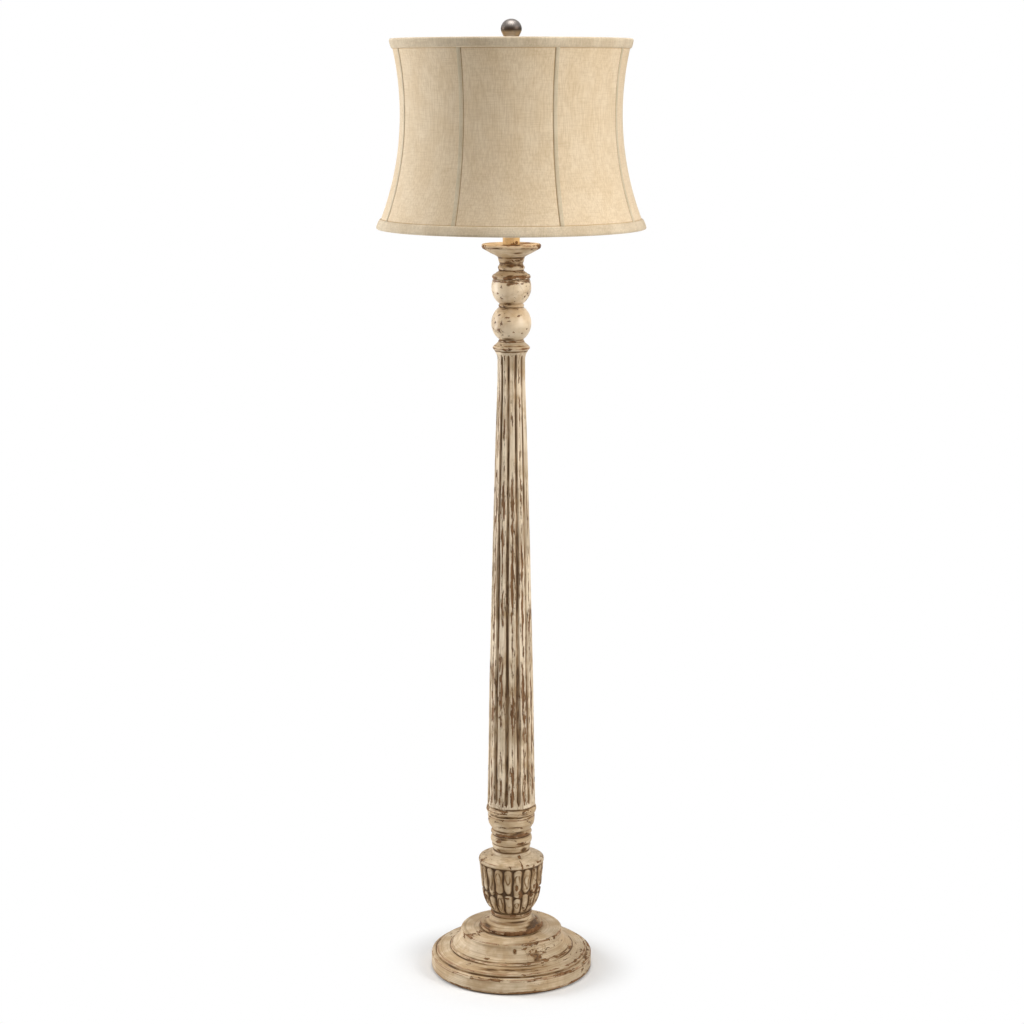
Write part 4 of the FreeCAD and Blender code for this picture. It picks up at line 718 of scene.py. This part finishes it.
# Collar ring, balls and neck
# Six turnings threaded on the pipe above the column: a collar, two balls with a spacer between them, a cap on
# the upper ball and a neck bead. The balls are the palest wood, with small chips and worn rings at the ends.
ball_paint = aged_paint("ball_paint", (30, 30, 110), (130, 130, 150), 1.00, rubbing=1.1, pale=0.55,
                        crazing=0.55, sheen=0.30, streak=0.35, stain=(50, 50, 110), gloss=0.45)
head_paint = aged_paint("head_paint", (14, 14, 430), (95, 95, 150), 0.955, rubbing=1.1, pale=0.4, sheen=0.36,
                        streak=0.6, stain=(50, 50, 130), uneven=1.35)
spacer_paint = aged_paint("spacer_paint", (14, 14, 430), (95, 95, 150), 0.975, rubbing=0.45, dirt=0.95,
                          pale=0.5, sheen=0.36, streak=0.5, stain=(50, 50, 130), uneven=1.35)
# name: node, paint, outline, crevices, edges, patches, glaze_and_shadow_spots
HEAD_TURNINGS = {
    "collar_ring": ("column_collar", head_paint, [
        (28.4, 1101.8), (30.9, 1104, 0.5), (31, 1108, 0.9), (28.8, 1110.4), (26.4, 1112.6, -0.3),
        (23.4, 1115.4, -0.4), (21.8, 1116.8), (21.9, 1118.6, 0.3), (20.3, 1120)],
        [(28.6, 1102), (28.6, 1110.6), (21.6, 1116.6), (20.4, 1119.8)], [(31.1, 1106)],
        [(-12, 1117, 9, 1.6), (-24, 1106, 2, 1.4), (50, 1106, 7, 2), (160, 1107, 9, 3)],
        [(-15, 1111, 9, 1.6), (40, 1111, 8, 1.4)]),
    "lower_ball_turning": ("lower_ball", ball_paint, [
        (20.2, 1120), (34, 1147.5, 3.7), (20.4, 1175, 3.7)],
        [(20.6, 1120.4), (20.6, 1174.6)], [],
        [(-12, 1160, 3, 1.6), (-5, 1154, 6, 1.2), (24, 1162, 2.4, 1.6), (8, 1135, 2, 1.3), (-40, 1139, 3, 2),
         (36, 1133, 3, 1.6), (-55, 1150, 2, 2), (52, 1140, 2, 2), (-8, 1129, 2, 1.2), (110, 1150, 6, 4),
         (-130, 1158, 7, 3), (170, 1140, 4, 5)],
        [(-10, 1123, 10, 1.4), (-30, 1173, 6, 1.2), (20, 1174, 6, 0.8)]),
    "ball_spacer_turning": ("ball_spacer", spacer_paint, [
        (20.4, 1175), (21.6, 1176.4, 0.3), (21.4, 1178.6, 0.5), (20.1, 1180.2), (20, 1181)],
        [], [(21.8, 1177.4)], [(-8, 1180, 3, 1), (130, 1178, 5, 2)],
        [(-26, 1180.4, 6, 0.8), (12, 1175.4, 14, 0.6), (140, 1180, 9, 1)]),
    "upper_ball_turning": ("upper_ball", ball_paint, [
        (20.4, 1181), (33.8, 1208, 3.55), (30.7, 1222.6, 0.83)],
        [(20.6, 1181.4), (30.6, 1222.4)], [(32, 1220.4)],
        [(-2, 1215.5, 7, 2.2), (14, 1217, 6, 1.4), (-48, 1219, 8, 1.3), (-28, 1218.6, 8, 0.9),
         (33, 1216, 4, 1.6), (58, 1221, 4, 2), (-45, 1200, 2, 2), (-36, 1192, 2, 1.6), (48, 1194, 2.4, 2.4),
         (20, 1203, 1.2, 1.2), (120, 1215, 9, 3), (-150, 1216, 8, 2.5)],
        [(0, 1219, 7, 2.6), (-8, 1215, 3, 2.4), (-50, 1220, 9, 1.6), (50, 1219, 6, 2), (-12, 1183, 7, 1.2)]),
    "ball_cap_turning": ("ball_cap", head_paint, [
        (30.8, 1222.6), (32.4, 1224.6, 0.3), (32.2, 1227.4, 0.5), (30, 1230, 0.3), (24.9, 1233.5, -0.5),
        (21.4, 1236, -0.5), (20.9, 1236.9)],
        [(30.8, 1222.8), (21.2, 1236.4)], [(32.2, 1226.8)],
        [(-6, 1226, 9, 2.2), (24, 1228, 8, 1.6), (-55, 1225, 5, 2), (120, 1226, 10, 3), (-140, 1227, 9, 2)],
        [(-14, 1224, 7, 1.6), (34, 1226, 7, 2.4), (-4, 1228, 7, 3)]),
    "neck_bead_turning": ("neck_bead", head_paint, [
        (20.6, 1236.9), (22, 1239.4, 0.5), (21.9, 1243.6, 0.8), (20.2, 1246.4), (19.9, 1248.6)],
        [(20.6, 1237.2), (20, 1247.6)], [(22, 1241.4)],
        [(0, 1245.5, 11, 2), (55, 1245, 6, 2.2), (150, 1243, 10, 2.4), (-110, 1242, 8, 2)],
        [(-5, 1246, 12, 2), (42, 1246, 5, 2), (160, 1246, 12, 2)]),
}
for name, (node, paint, rows, crevices, edges, patches, glaze_and_shadow_spots) in HEAD_TURNINGS.items():
    turned(name, bored(rows), paint, node, 144, 0.6, 0.45, 0.08, crevices, edges, patches, glaze_and_shadow_spots, 0.72)


# Drip plate
# A shallow dish turned with its stem, under the candle sleeve. Its rim is worn grey-brown and its floor shows
# the warm light that comes off the shade's lining.
PLATE_ROWS = bored([
    (20, 1248.6), (20.8, 1250.4), (21.8, 1253.7), (22.5, 1257.6), (23.6, 1259.4, -0.3),
    (31, 1263.7, -0.3), (41.2, 1269.2, 0.2), (46.8, 1272.2), (49.3, 1274.4, 0.3), (49.9, 1278.4, 0.4),
    (49.2, 1280.4, 0.3), (47.8, 1280.6, 0.2), (44, 1278.9, -0.2), (40, 1278.1),
])
plate_paint = aged_paint("plate_paint", (16, 16, 420), (85, 85, 140), 0.985, pale=0.1, streak=1.25,
                         stain=(50, 50, 130), uneven=1.35)
turned("drip_dish", PLATE_ROWS, plate_paint, "drip_plate", 192, 0.6, 0.45, 0.1,
       crevices=[(20, 1249), (22.9, 1258.4), (15.4, 1278.1)], edges=[(49.6, 1275)],
       patches=[(10, 1254, 9, 3), (-12, 1251, 8, 2), (50, 1256, 5, 4), (-76, 1276, 10, 3), (78, 1277, 8, 3),
                (12, 1267, 5, 1.4), (150, 1276, 14, 3), (-130, 1262, 8, 3)],
       glaze_and_shadow_spots=[(-5, 1253, 8, 2.4), (0, 1250, 9, 1.4), (30, 1254, 6, 2), (55, 1257, 5, 3), (-25, 1276, 16, 1.2),
             (30, 1276, 14, 1), (-68, 1273, 9, 2), (70, 1274, 9, 2), (15, 1268, 9, 1.2)])


# Candle sleeve
# A plain cream tube that hides the pipe and the clamping nut, and reaches up into the shade. Its foot is
# chipped where it stands in the dish.
SLEEVE_ROWS = [(12.9, 1278.1), (14.1, 1278.1), (14.4, 1278.6), (14.4, 1361.4), (14.1, 1362.1), (12.9, 1362.1)]
# Its cream is paler and yellower than the stand's: partly the sleeve's own colour, partly painted warm light
# from the shade's lining.
sleeve_paint = aged_paint("sleeve_paint", (40, 40, 60), (90, 90, 130), 1.02, rubbing=0.4, dirt=0.8, pale=1.1,
                          crazing=0.2, streak=0.3, cream_pale=tint(228, 198, 144))
turned("sleeve_tube", SLEEVE_ROWS, sleeve_paint, "candle_sleeve", 96, 0.8, 0.3, 0,
       crevices=[(14.4, 1278.6)],
       patches=[(8, 1281, 6, 1.4), (40, 1284, 3, 2.6), (160, 1282, 5, 2)],
       glaze_and_shadow_spots=[(8, 1281, 6, 1.4), (40, 1283, 3, 3)], slot="sleeve_cream")


# Metal in the stack
# The pipes, nuts and washers that clamp the stack are zinc-plated steel. The check ring, saddle, socket and
# switch shaft are brass, and the weight is rough cast iron under a felt pad.
def metal(name, colour, dull, roughness=0.30, tarnish=0.5):
    """A bare or plated metal with fine brush lines and tarnish."""
    surface = Finish(name)
    lines = surface.mottle((40, 40, 900), 3.0, 0.6)
    spots = surface.mottle((120, 120, 120), 5.0, 0.6)
    shade = surface.coated(colour, (dull, lines, 0.35, 0.65, 0.25, 0.0),
                           (dull, spots, 0.48, 0.70, 0.0, tarnish))
    surface.relief(lines, 0.03)
    rough = surface.between(spots, 0.35, 0.70, roughness, roughness + 0.18)
    return surface.set(Base_Color=shade, Metallic=1.0, Roughness=rough)


def grained(name, colour, dark, scale, depth, roughness, detail=5.0):
    """A matt surface with a grain of its own: cast iron, felt, board or moulded plastic."""
    surface = Finish(name)
    grain = surface.mottle(scale, detail, 0.65)
    cloud = surface.mottle((20, 20, 20), 3.0, 0.5)
    shade = surface.coated(dark, (colour, grain, 0.30, 0.70), (dark, cloud, 0.40, 0.75, 0.0, 0.35))
    surface.relief(grain, depth)
    return surface.set(Base_Color=shade, Roughness=roughness)


def dress(material, *nodes):
    """Give CAD nodes whose shape is right their finish."""
    for name in nodes:
        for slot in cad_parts[name].material_slots:
            slot.material = material


brass = metal("aged_brass", tint(196, 160, 92), tint(118, 88, 48), 0.30, tarnish=0.6)
dress(brass, "pipe_coupling", "check_ring", "harp_saddle", "socket_cap", "socket_shell", "screw_shell",
      "centre_contact", "switch_shaft")
dress(metal("zinc_plate", tint(196, 198, 202), tint(128, 130, 132), 0.34), "weight_screws", "bottom_washer",
      "lock_washer", "bottom_nut", "lower_pipe", "upper_pipe", "stack_washer", "stack_nut")
dress(metal("solder_dome", tint(186, 186, 184), tint(130, 130, 128), 0.40), "bulb_contact")
dress(metal("nickel_plate", tint(200, 196, 186), tint(132, 126, 116), 0.28), "bulb_screw_base")
dress(grained("cast_iron_skin", tint(74, 72, 70), tint(40, 38, 37), (420, 420, 420), 0.30, 0.78),
      "base_weight")
dress(grained("brown_felt_nap", tint(112, 82, 58), tint(70, 50, 34), (900, 900, 900), 0.25, 0.95, 6.0),
      "felt_pad")
dress(grained("liner_card", tint(150, 118, 78), tint(116, 88, 56), (60, 60, 700), 0.05, 0.85), "socket_liner")
dress(grained("brown_moulding", tint(70, 48, 34), tint(48, 32, 22), (500, 500, 500), 0.02, 0.42),
      "cord_bushing", "socket_insulator", "switch_key")


# Harp and ferrules
# A brass wire bowed round the bulb, with a flattened shoulder and a threaded stud on its crown. Its feet slip
# over the saddle's tongues, and a sleeve drops over each to lock it.
HARP_HALF_SPAN = 30.0
HARP_HALF_WIDTH = 57.0
HARP_WIRE = 1.6
HARP_FOOT = 1388.5
HARP_STRAIGHT = 1415.0
HARP_BELLY = 1520.9
HARP_CROWN = 1603.0
HARP_BOW = 96.8
HARP_CROWN_BEND = 24.0
HARP_CROWN_TURN = 53.0
HARP_FLAT = 4.0
STUD_ROWS = [
    (0.2, 1602.2), (7.6, 1602.2), (8, 1602.6), (8, 1606.2), (7.6, 1606.6), (3.1, 1606.6), (3.1, 1620),
    (2.5, 1620.6), (0.2, 1620.6),
]
HARP_FOOT_ROWS = [(0.2, 1386.9), (2.9, 1386.9), (3.3, 1387.3), (3.3, 1400.4), (2.4, 1400.9), (0.2, 1400.9)]
FERRULE_ROWS = [
    (3.65, 1386.9), (4.3, 1386.9), (4.45, 1387.1), (4.45, 1400.6), (4.1, 1401.8), (3.4, 1402.6), (2, 1402.6),
    (2, 1401.6), (3.65, 1400.6),
]


def swept(name, path, radius, rounding=3, closed=False):
    """A round wire along points in metres."""
    curve = bpy.data.curves.new(name, "CURVE")
    curve.dimensions = "3D"
    curve.bevel_depth = radius * MM
    curve.bevel_resolution = rounding
    curve.use_fill_caps = True
    line = curve.splines.new("POLY")
    line.points.add(len(path) - 1)
    for point, spot in zip(line.points, path):
        point.co = (*spot, 1.0)
    line.use_cyclic_u = closed
    line.use_smooth = True
    holder = placed(name, curve)
    mesh = evaluated_mesh(holder)
    bpy.data.objects.remove(holder)
    mesh.polygons.foreach_set("use_smooth", np.ones(len(mesh.polygons), bool))
    return mesh


def harp_side():
    """The right-hand half of the harp's wire, from its foot to the crown, in mm."""
    spots = [(HARP_HALF_SPAN, HARP_FOOT), (HARP_HALF_SPAN, HARP_STRAIGHT)]
    across = HARP_HALF_WIDTH - HARP_HALF_SPAN
    rise = HARP_BELLY - HARP_STRAIGHT
    sway = ((across / 2) ** 2 + (rise / 2) ** 2) / across
    for up in np.linspace(0, rise, 25)[1:]:
        lean = sway - math.sqrt(sway * sway - min(up, rise - up) ** 2)
        spots.append((HARP_HALF_SPAN + (lean if up < rise / 2 else across - lean), HARP_STRAIGHT + up))
    for turn in np.radians(np.linspace(0, HARP_CROWN_TURN, 17)[1:]):
        spots.append((HARP_HALF_WIDTH - HARP_BOW * (1 - math.cos(turn)),
                      HARP_BELLY + HARP_BOW * math.sin(turn)))
    for turn in np.radians(np.linspace(HARP_CROWN_TURN, 90, 9)[1:]):
        spots.append((HARP_FLAT + HARP_CROWN_BEND * math.cos(turn),
                      HARP_CROWN - HARP_CROWN_BEND * (1 - math.sin(turn))))
    return spots


def joined(name, meshes):
    """One mesh from several."""
    spots, faces, smooth = [], [], []
    for mesh in meshes:
        first = len(spots)
        spots.extend(tuple(vertex.co) for vertex in mesh.vertices)
        faces.extend(tuple(first + index for index in face.vertices) for face in mesh.polygons)
        smooth.extend(face.use_smooth for face in mesh.polygons)
    whole = bpy.data.meshes.new(name)
    whole.from_pydata(spots, [], faces)
    whole.polygons.foreach_set("use_smooth", smooth)
    whole.update()
    return whole


def plain_turning(name, rows, around=48, step=0.4, soften=0.0, centre=0.0):
    """A turned piece without paint values, on an axis that stands at its centre on X."""
    points = outline_points(rows, step, soften)
    radii = np.repeat(np.maximum(points[:, :1], 0.01), around, axis=1)
    return ring_mesh(name, points[:, 1:], ring_angles(around), radii, centre=centre)


side = harp_side()
harp_path = [(x * MM, 0, z * MM) for x, z in side] + [(-x * MM, 0, z * MM) for x, z in side[::-1]]
harp_meshes = [swept("harp_wire", harp_path, HARP_WIRE, 5), plain_turning("harp_stud", STUD_ROWS)]
harp_meshes += [plain_turning("harp_foot", HARP_FOOT_ROWS, 32, 0.5, centre=foot)
                for foot in (-HARP_HALF_SPAN, HARP_HALF_SPAN)]
add_piece("harp_bow_wire", joined("harp_bow_wire", harp_meshes), brass, "brass", "harp_frame", "harp")
for hand, foot in (("left", -HARP_HALF_SPAN), ("right", HARP_HALF_SPAN)):
    name = f"ferrule_{hand}_sleeve"
    add_piece(name, plain_turning(name, FERRULE_ROWS, centre=foot), brass, "brass", f"{hand}_lock",
              f"ferrule_{hand}")


# Bulb
# A frosted globe blown on a nickel screw base, with a drop of solder for its contact.
BULB_ROWS = [
    (0.2, 1416.6), (10.4, 1416.6), (12, 1417.6), (12, 1432.5), (12.6, 1438, -0.3), (18.5, 1450.5, -1.2),
    (27.2, 1461, 0.3), (30, 1474.5, 0.8), (21.2, 1495.7, 2.28), (0.2, 1504.5, 2.24),
]
glass = Finish("frosted_globe")
glass_cloud = glass.mottle((90, 90, 90), 2.0, 0.5)
glass_colour = glass.coated(tint(236, 232, 224), (tint(250, 248, 244), glass_cloud, 0.3, 0.7))
glass.relief(glass_cloud, 0.02)
frost = glass.set(Base_Color=glass_colour, Roughness=0.38, Transmission_Weight=0.35, IOR=1.46)
add_piece("bulb_globe", plain_turning("bulb_globe", BULB_ROWS, 72, 0.8), frost, "frosted_glass", "bulb",
          "bulb_glass")


# Shade
# Eight panels of slubbed beige linen drawn over a lining board, stretched between two wire rings and waisted
# like a drum. A flat strip covers each seam, and a folded band of the same linen hides each ring.
SHADE_FOOT = 1306.7
SHADE_HEIGHT = 311.0
WAIST_HEIGHT = 193.3
WAIST_RADIUS = 185.6
WAIST_BOW = 500.0
LINEN_THICKNESS = 1.2
PANELS = 8
PANEL_SLICES = 22
PANEL_EASE = 0.9
SEAM_START = math.radians(20.9) + FRONT
SEAM_STEPS = np.array((0.0, 0.45, 0.9, 1.5, 2.4, 3.6))
SEAM_GROOVE = 0.55
GROOVE_WIDTH = 0.8
SEAM_SHADE_WIDTH = 0.62
COVER_ROWS = 78
COVER_INSET = 1.4
HEM_HEIGHT = 16.0
HEM_STEPS = np.array((0.0, 0.6, 1.2, 2.0))
HEM_SHADE_OFFSET = 0.6
HEM_ROUND = 256
THREADS_ROUND = 1320
THREAD_PITCH = 0.00095


def wall_radius(height):
    """The outer radius of the shade at a height above its foot."""
    rise = np.asarray(height, float) - WAIST_HEIGHT
    return WAIST_RADIUS + WAIST_BOW - np.sqrt(WAIST_BOW ** 2 - rise ** 2)


def linen(name, pale, warm, grey, slubs=1.0, seam=False):
    """Plain-woven linen with uneven threads both ways, and painted shade along each seam and hem edge."""
    cloth = Finish(name)
    parts = cloth.node("SeparateXYZ", {0: cloth.place})
    turn = cloth.maths("ARCTAN2", parts[1], parts[0])
    warp = cloth.maths("SINE", cloth.maths("MULTIPLY", turn, float(THREADS_ROUND)))
    weft = cloth.maths("SINE", cloth.maths("MULTIPLY", parts[2], FULL_TURN / THREAD_PITCH))
    weave = cloth.maths("MULTIPLY", warp, weft)
    upright = cloth.mottle((560, 560, 45), 4.0, 0.6)
    level = cloth.mottle((45, 45, 640), 4.0, 0.6)
    cloud = cloth.mottle((34, 34, 20), 4.0, 0.6)
    fleck = cloth.mottle((420, 420, 120), 3.0, 0.7)
    colour = cloth.coated(warm, (pale, cloud, 0.34, 0.66), (grey, upright, 0.40, 0.64, 0.0, 0.42 * slubs),
                          (pale, upright, 0.36, 0.50, 0.32 * slubs, 0.0),
                          (grey, level, 0.44, 0.66, 0.0, 0.30 * slubs),
                          (tint(168, 138, 98), fleck, 0.66, 0.74, 0.0, 0.35),
                          (grey, weave, -1.0, 1.0, 0.08, 0.0))
    # The mesh's seam value lays painted shade, golden at its edge and dark in its core.
    if seam:
        line = cloth.reads("seam")
        colour = cloth.coated(colour, (tint(176, 138, 88), line, 0.12, 0.50, 0.0, 0.70),
                              (tint(104, 80, 50), line, 0.66, 1.0, 0.0, 0.80))
    cloth.relief(cloth.adds(cloth.adds(upright, weave, 0.30), level, 0.7), 0.16)
    cloth.lets_light_through(0.14, colour)
    return cloth.set(Base_Color=colour, Roughness=0.86, Sheen_Weight=0.15, Sheen_Roughness=0.5)


seam_angles = SEAM_START + ring_angles(PANELS)
near_seam = SEAM_STEPS / WAIST_RADIUS
panel_gap = FULL_TURN / PANELS - 2 * near_seam[-1]
slices = near_seam[-1] + panel_gap * np.arange(1, PANEL_SLICES) / PANEL_SLICES
cover_angles = np.sort((seam_angles[:, None] + np.concatenate((near_seam, -near_seam[1:], slices))).ravel())
seam_gaps = np.remainder(cover_angles[:, None] - seam_angles + math.pi, FULL_TURN) - math.pi
seam_gap = np.min(np.abs(seam_gaps), axis=1)
panel_share = np.clip(seam_gap / (FULL_TURN / PANELS / 2), 0, 1)
cover_heights = np.linspace(COVER_INSET, SHADE_HEIGHT - COVER_INSET, COVER_ROWS)
cover_heights = np.unique(np.concatenate((cover_heights, HEM_HEIGHT + HEM_STEPS,
                                          SHADE_HEIGHT - HEM_HEIGHT - HEM_STEPS)))[:, None]
outer_wall = wall_radius(cover_heights)
bell = np.sin(np.pi * np.clip((cover_heights - 8) / (SHADE_HEIGHT - 16), 0, 1))
ease = PANEL_EASE * bell * np.sin(np.pi * panel_share / 2) ** 2
groove = SEAM_GROOVE * np.exp(-(seam_gap * WAIST_RADIUS / GROOVE_WIDTH) ** 2) * (bell > 0.05)
outer_radii = outer_wall - ease - groove - 0.02
inner_radii = outer_wall - LINEN_THICKNESS - ease
# Painted shade: a line in each seam's groove, and one on the cover just past each hem's edge, where the hem
# stands proud of it.
seam_and_hem_shade_line = np.exp(-(seam_gap * WAIST_RADIUS / SEAM_SHADE_WIDTH) ** 2) * (bell > 0.05)
hem_gap = np.minimum(np.abs(cover_heights - HEM_HEIGHT - HEM_SHADE_OFFSET),
                     np.abs(SHADE_HEIGHT - HEM_HEIGHT - HEM_SHADE_OFFSET - cover_heights))
seam_and_hem_shade_line = np.maximum(seam_and_hem_shade_line, 0.45 * np.exp(-(hem_gap / 1.2) ** 2))
cover_mesh = ring_mesh("linen_cover", np.concatenate((cover_heights, cover_heights[::-1])) + SHADE_FOOT,
                       cover_angles, np.concatenate((outer_radii, inner_radii[::-1])),
                       {"seam": np.concatenate((seam_and_hem_shade_line, np.zeros_like(seam_and_hem_shade_line)))})
shade_linen = linen("shade_linen", tint(233, 214, 184), tint(226, 204, 170), tint(198, 172, 133), seam=True)
cover = add_piece("linen_cover", cover_mesh, shade_linen, "beige_linen", "shade", "shade_cover")

# Distance inwards from the hem's edge, and out from the wall.
HEM_SECTION = [
    (16, 0.05), (16.2, 1.1), (15.4, 2.2), (13.6, 2.9), (9, 3.25), (4.4, 3.2), (1.8, 2.6), (0.35, 1.2),
    (0, -0.8), (0, -3.6), (0.5, -5.2), (1.8, -6), (7, -6), (7, -5.15), (2, -5.15), (1.25, -4.6),
    (1.15, -0.2), (1.6, 0.02),
]
hem_linen = linen("hem_linen", tint(223, 206, 178), tint(209, 189, 158), tint(178, 159, 130), 0.8)
for name, edge, inward in (("bottom_hem", 0.0, 1), ("top_hem", SHADE_HEIGHT, -1)):
    rows = [(wall_radius(edge + inward * offset) + proud, edge + inward * offset)
            for offset, proud in HEM_SECTION]
    points = outline_points(rows + rows[:1], 0.9)[:-1][::inward]
    angles = ring_angles(HEM_ROUND)
    gathers = (0.10 * np.sin(47 * angles + 0.2 * np.arange(len(points))[:, None])
               + 0.08 * np.sin(83 * angles + 1.3) + 0.1 * np.sin(5 * angles))
    outside = np.clip((points[:, :1] - wall_radius(points[:, 1:])) / 2.0, 0, 1)
    hem_mesh = ring_mesh(f"linen_{name}", points[:, 1:] + SHADE_FOOT, angles,
                         points[:, :1] + outside * (gathers - 0.28))
    add_piece(f"linen_{name}", hem_mesh, hem_linen, "beige_linen", "shade", name)

TAPE_WIDTH = 6.6
TAPE_END = HEM_HEIGHT - 1.0
TAPE_ROWS = 70
TAPE_FROM_SEAM = 0.9
# Share of the strip's width, and how far out from the wall.
TAPE_SECTION = [
    (0, -0.60), (0, 0.10), (0.06, 0.37), (0.18, 0.50), (0.5, 0.56), (0.82, 0.50), (0.94, 0.37), (1, 0.10),
    (1, -0.60),
]


def spot_at(reach, turn, height):
    """A place in metres, from a radius, an angle and a height above the shade's foot."""
    return (reach * math.cos(turn) * MM, reach * math.sin(turn) * MM, (height + SHADE_FOOT) * MM)


corners = len(TAPE_SECTION)
tape_faces = [(row * corners + k, row * corners + (k + 1) % corners, (row + 1) * corners + (k + 1) % corners,
               (row + 1) * corners + k) for row in range(TAPE_ROWS - 1) for k in range(corners)]
tape_faces += [tuple(range(corners))[::-1], tuple(range((TAPE_ROWS - 1) * corners, TAPE_ROWS * corners))]
strips = []
for seam_angle in seam_angles:
    # Each strip lies on the side of its seam that is away from the front.
    away = math.copysign(1, math.remainder(seam_angle - FRONT, FULL_TURN))
    spots = []
    for height in np.linspace(TAPE_END, SHADE_HEIGHT - TAPE_END, TAPE_ROWS):
        radius = wall_radius(height)
        for share, proud in TAPE_SECTION:
            turn = seam_angle + away * (TAPE_FROM_SEAM + TAPE_WIDTH * share) / radius
            spots.append(spot_at(radius + proud, turn, height))
    strip = bpy.data.meshes.new("strip")
    strip.from_pydata(spots, [], [face[::-1] for face in tape_faces] if away > 0 else tape_faces)
    strip.polygons.foreach_set("use_smooth", [len(face) == 4 for face in tape_faces])
    strips.append(strip)
tape_linen = linen("tape_linen", tint(216, 200, 171), tint(203, 186, 155), tint(176, 159, 130), 0.6)
add_piece("linen_seam_strips", joined("linen_seam_strips", strips), tape_linen, "beige_linen", "shade",
          "seam_tapes")


# Shade frame
# Two wire rings, eight upright wires behind the seams, and three arms welded to a washer that the finial
# clamps on the harp's shoulder.
RING_WIRE = 1.6
RING_INSET = 3.0
RING_RISE = 2.8
RING_SPOTS = 160
RIB_END = 4.6
RIB_SPOTS = 48
ARM_WIRE = 1.8
ARM_LEVEL = 300.2
ARM_STATIONS = (13.0, 60.0, 120.0)
ARM_BENDS = (15, 30, 45, 60, 75, 90)
ARM_TUCK = 0.8
ARM_CLEAR = 0.2
steel = metal("wire_steel_coat", tint(172, 170, 164), tint(112, 108, 102), 0.36, tarnish=0.7)
for name, node, height in (("bottom_wire_ring", "bottom_ring", RING_RISE),
                           ("top_wire_ring", "top_ring", SHADE_HEIGHT - RING_RISE)):
    path = [spot_at(wall_radius(height) - RING_INSET, turn, height) for turn in ring_angles(RING_SPOTS)]
    add_piece(name, swept(name, path, RING_WIRE, closed=True), steel, "wire_steel", "shade", node)
ribs = [swept("rib", [spot_at(wall_radius(height) - RING_INSET, seam_angle, height)
                      for height in np.linspace(RIB_END, SHADE_HEIGHT - RIB_END, RIB_SPOTS)], RING_WIRE)
        for seam_angle in seam_angles]
add_piece("upright_wires", joined("upright_wires", ribs), steel, "wire_steel", "shade", "shade_ribs")

arm_reach = wall_radius(SHADE_HEIGHT - RING_RISE) - RING_INSET - ARM_TUCK
arm_rise = SHADE_HEIGHT - RING_RISE - RING_WIRE - ARM_CLEAR - ARM_LEVEL
arm_line = [(reach, ARM_LEVEL) for reach in (*ARM_STATIONS, arm_reach - arm_rise)]
arm_line += [(arm_reach - arm_rise * (1 - math.sin(bend)), ARM_LEVEL + arm_rise * (1 - math.cos(bend)))
             for bend in np.radians(ARM_BENDS)]
arms = [swept("arm", [spot_at(reach, turn, height) for reach, height in arm_line], ARM_WIRE)
        for turn in math.radians(90) + ring_angles(3)]
add_piece("spider_wires", joined("spider_wires", arms), steel, "wire_steel", "shade", "spider_arms")
dress(steel, "spider")
dress(brass, "finial_insert")


# Finial
# A ball and its collar, turned of one piece of metal and plated dark brushed nickel. It screws on the harp's
# stud and clamps the shade. Its colour carries a painted reflection that changes with height.
FINIAL_NECK_ROWS = [
    (5.06, 1609), (10.6, 1609), (11.4, 1609.8, 0.2), (11.4, 1611.6), (10.4, 1612.6, 0.2),
    (9.6, 1613.6, -0.3), (10.2, 1615.6, 0.3), (9.6, 1617.6), (5.06, 1617.6),
]
FINIAL_BALL_ROWS = [
    (0.2, 1614.7), (8.6, 1615.9, 0.2), (11.3, 1619.6, -0.2), (15, 1626, 0.3), (17.5, 1633.4, 0.5),
    (0.2, 1649.75, 4.85),
]
nickel = Finish("dark_nickel_painted_reflection")
lines = nickel.mottle((60, 60, 1400), 4.0, 0.65)
cloud = nickel.mottle((60, 60, 60), 3.0, 0.5)
level = nickel.node("SeparateXYZ", {0: nickel.place})[2]
# Painted reflection by height: light grey on top, dark round the widest part, beige below it; tan at the
# ball's foot and the collar.
shade = nickel.coated(tint(62, 52, 46), (tint(122, 116, 112), level, 1.6345, 1.6405),
                      (tint(216, 200, 176), level, 1.6270, 1.6330, 1.0, 0.0),
                      (tint(146, 134, 118), level, 1.6160, 1.6190, 1.0, 0.0),
                      (tint(84, 74, 64), lines, 0.30, 0.70, 0.35, 0.0),
                      (tint(78, 68, 60), cloud, 0.45, 0.75, 0.0, 0.25))
nickel.relief(lines, 0.05)
nickel.set(Base_Color=shade, Metallic=1.0, Roughness=nickel.between(lines, 0.3, 0.7, 0.36, 0.48),
           Anisotropic=0.3)
for name, node, rows, step, soften in (("finial_collar", "finial_neck", FINIAL_NECK_ROWS, 0.35, 0.35),
                                       ("finial_globe", "finial_ball", FINIAL_BALL_ROWS, 0.5, 0.0)):
    add_piece(name, plain_turning(name, rows, 96, step, soften), nickel.material, "dark_nickel", "finial",
              node)
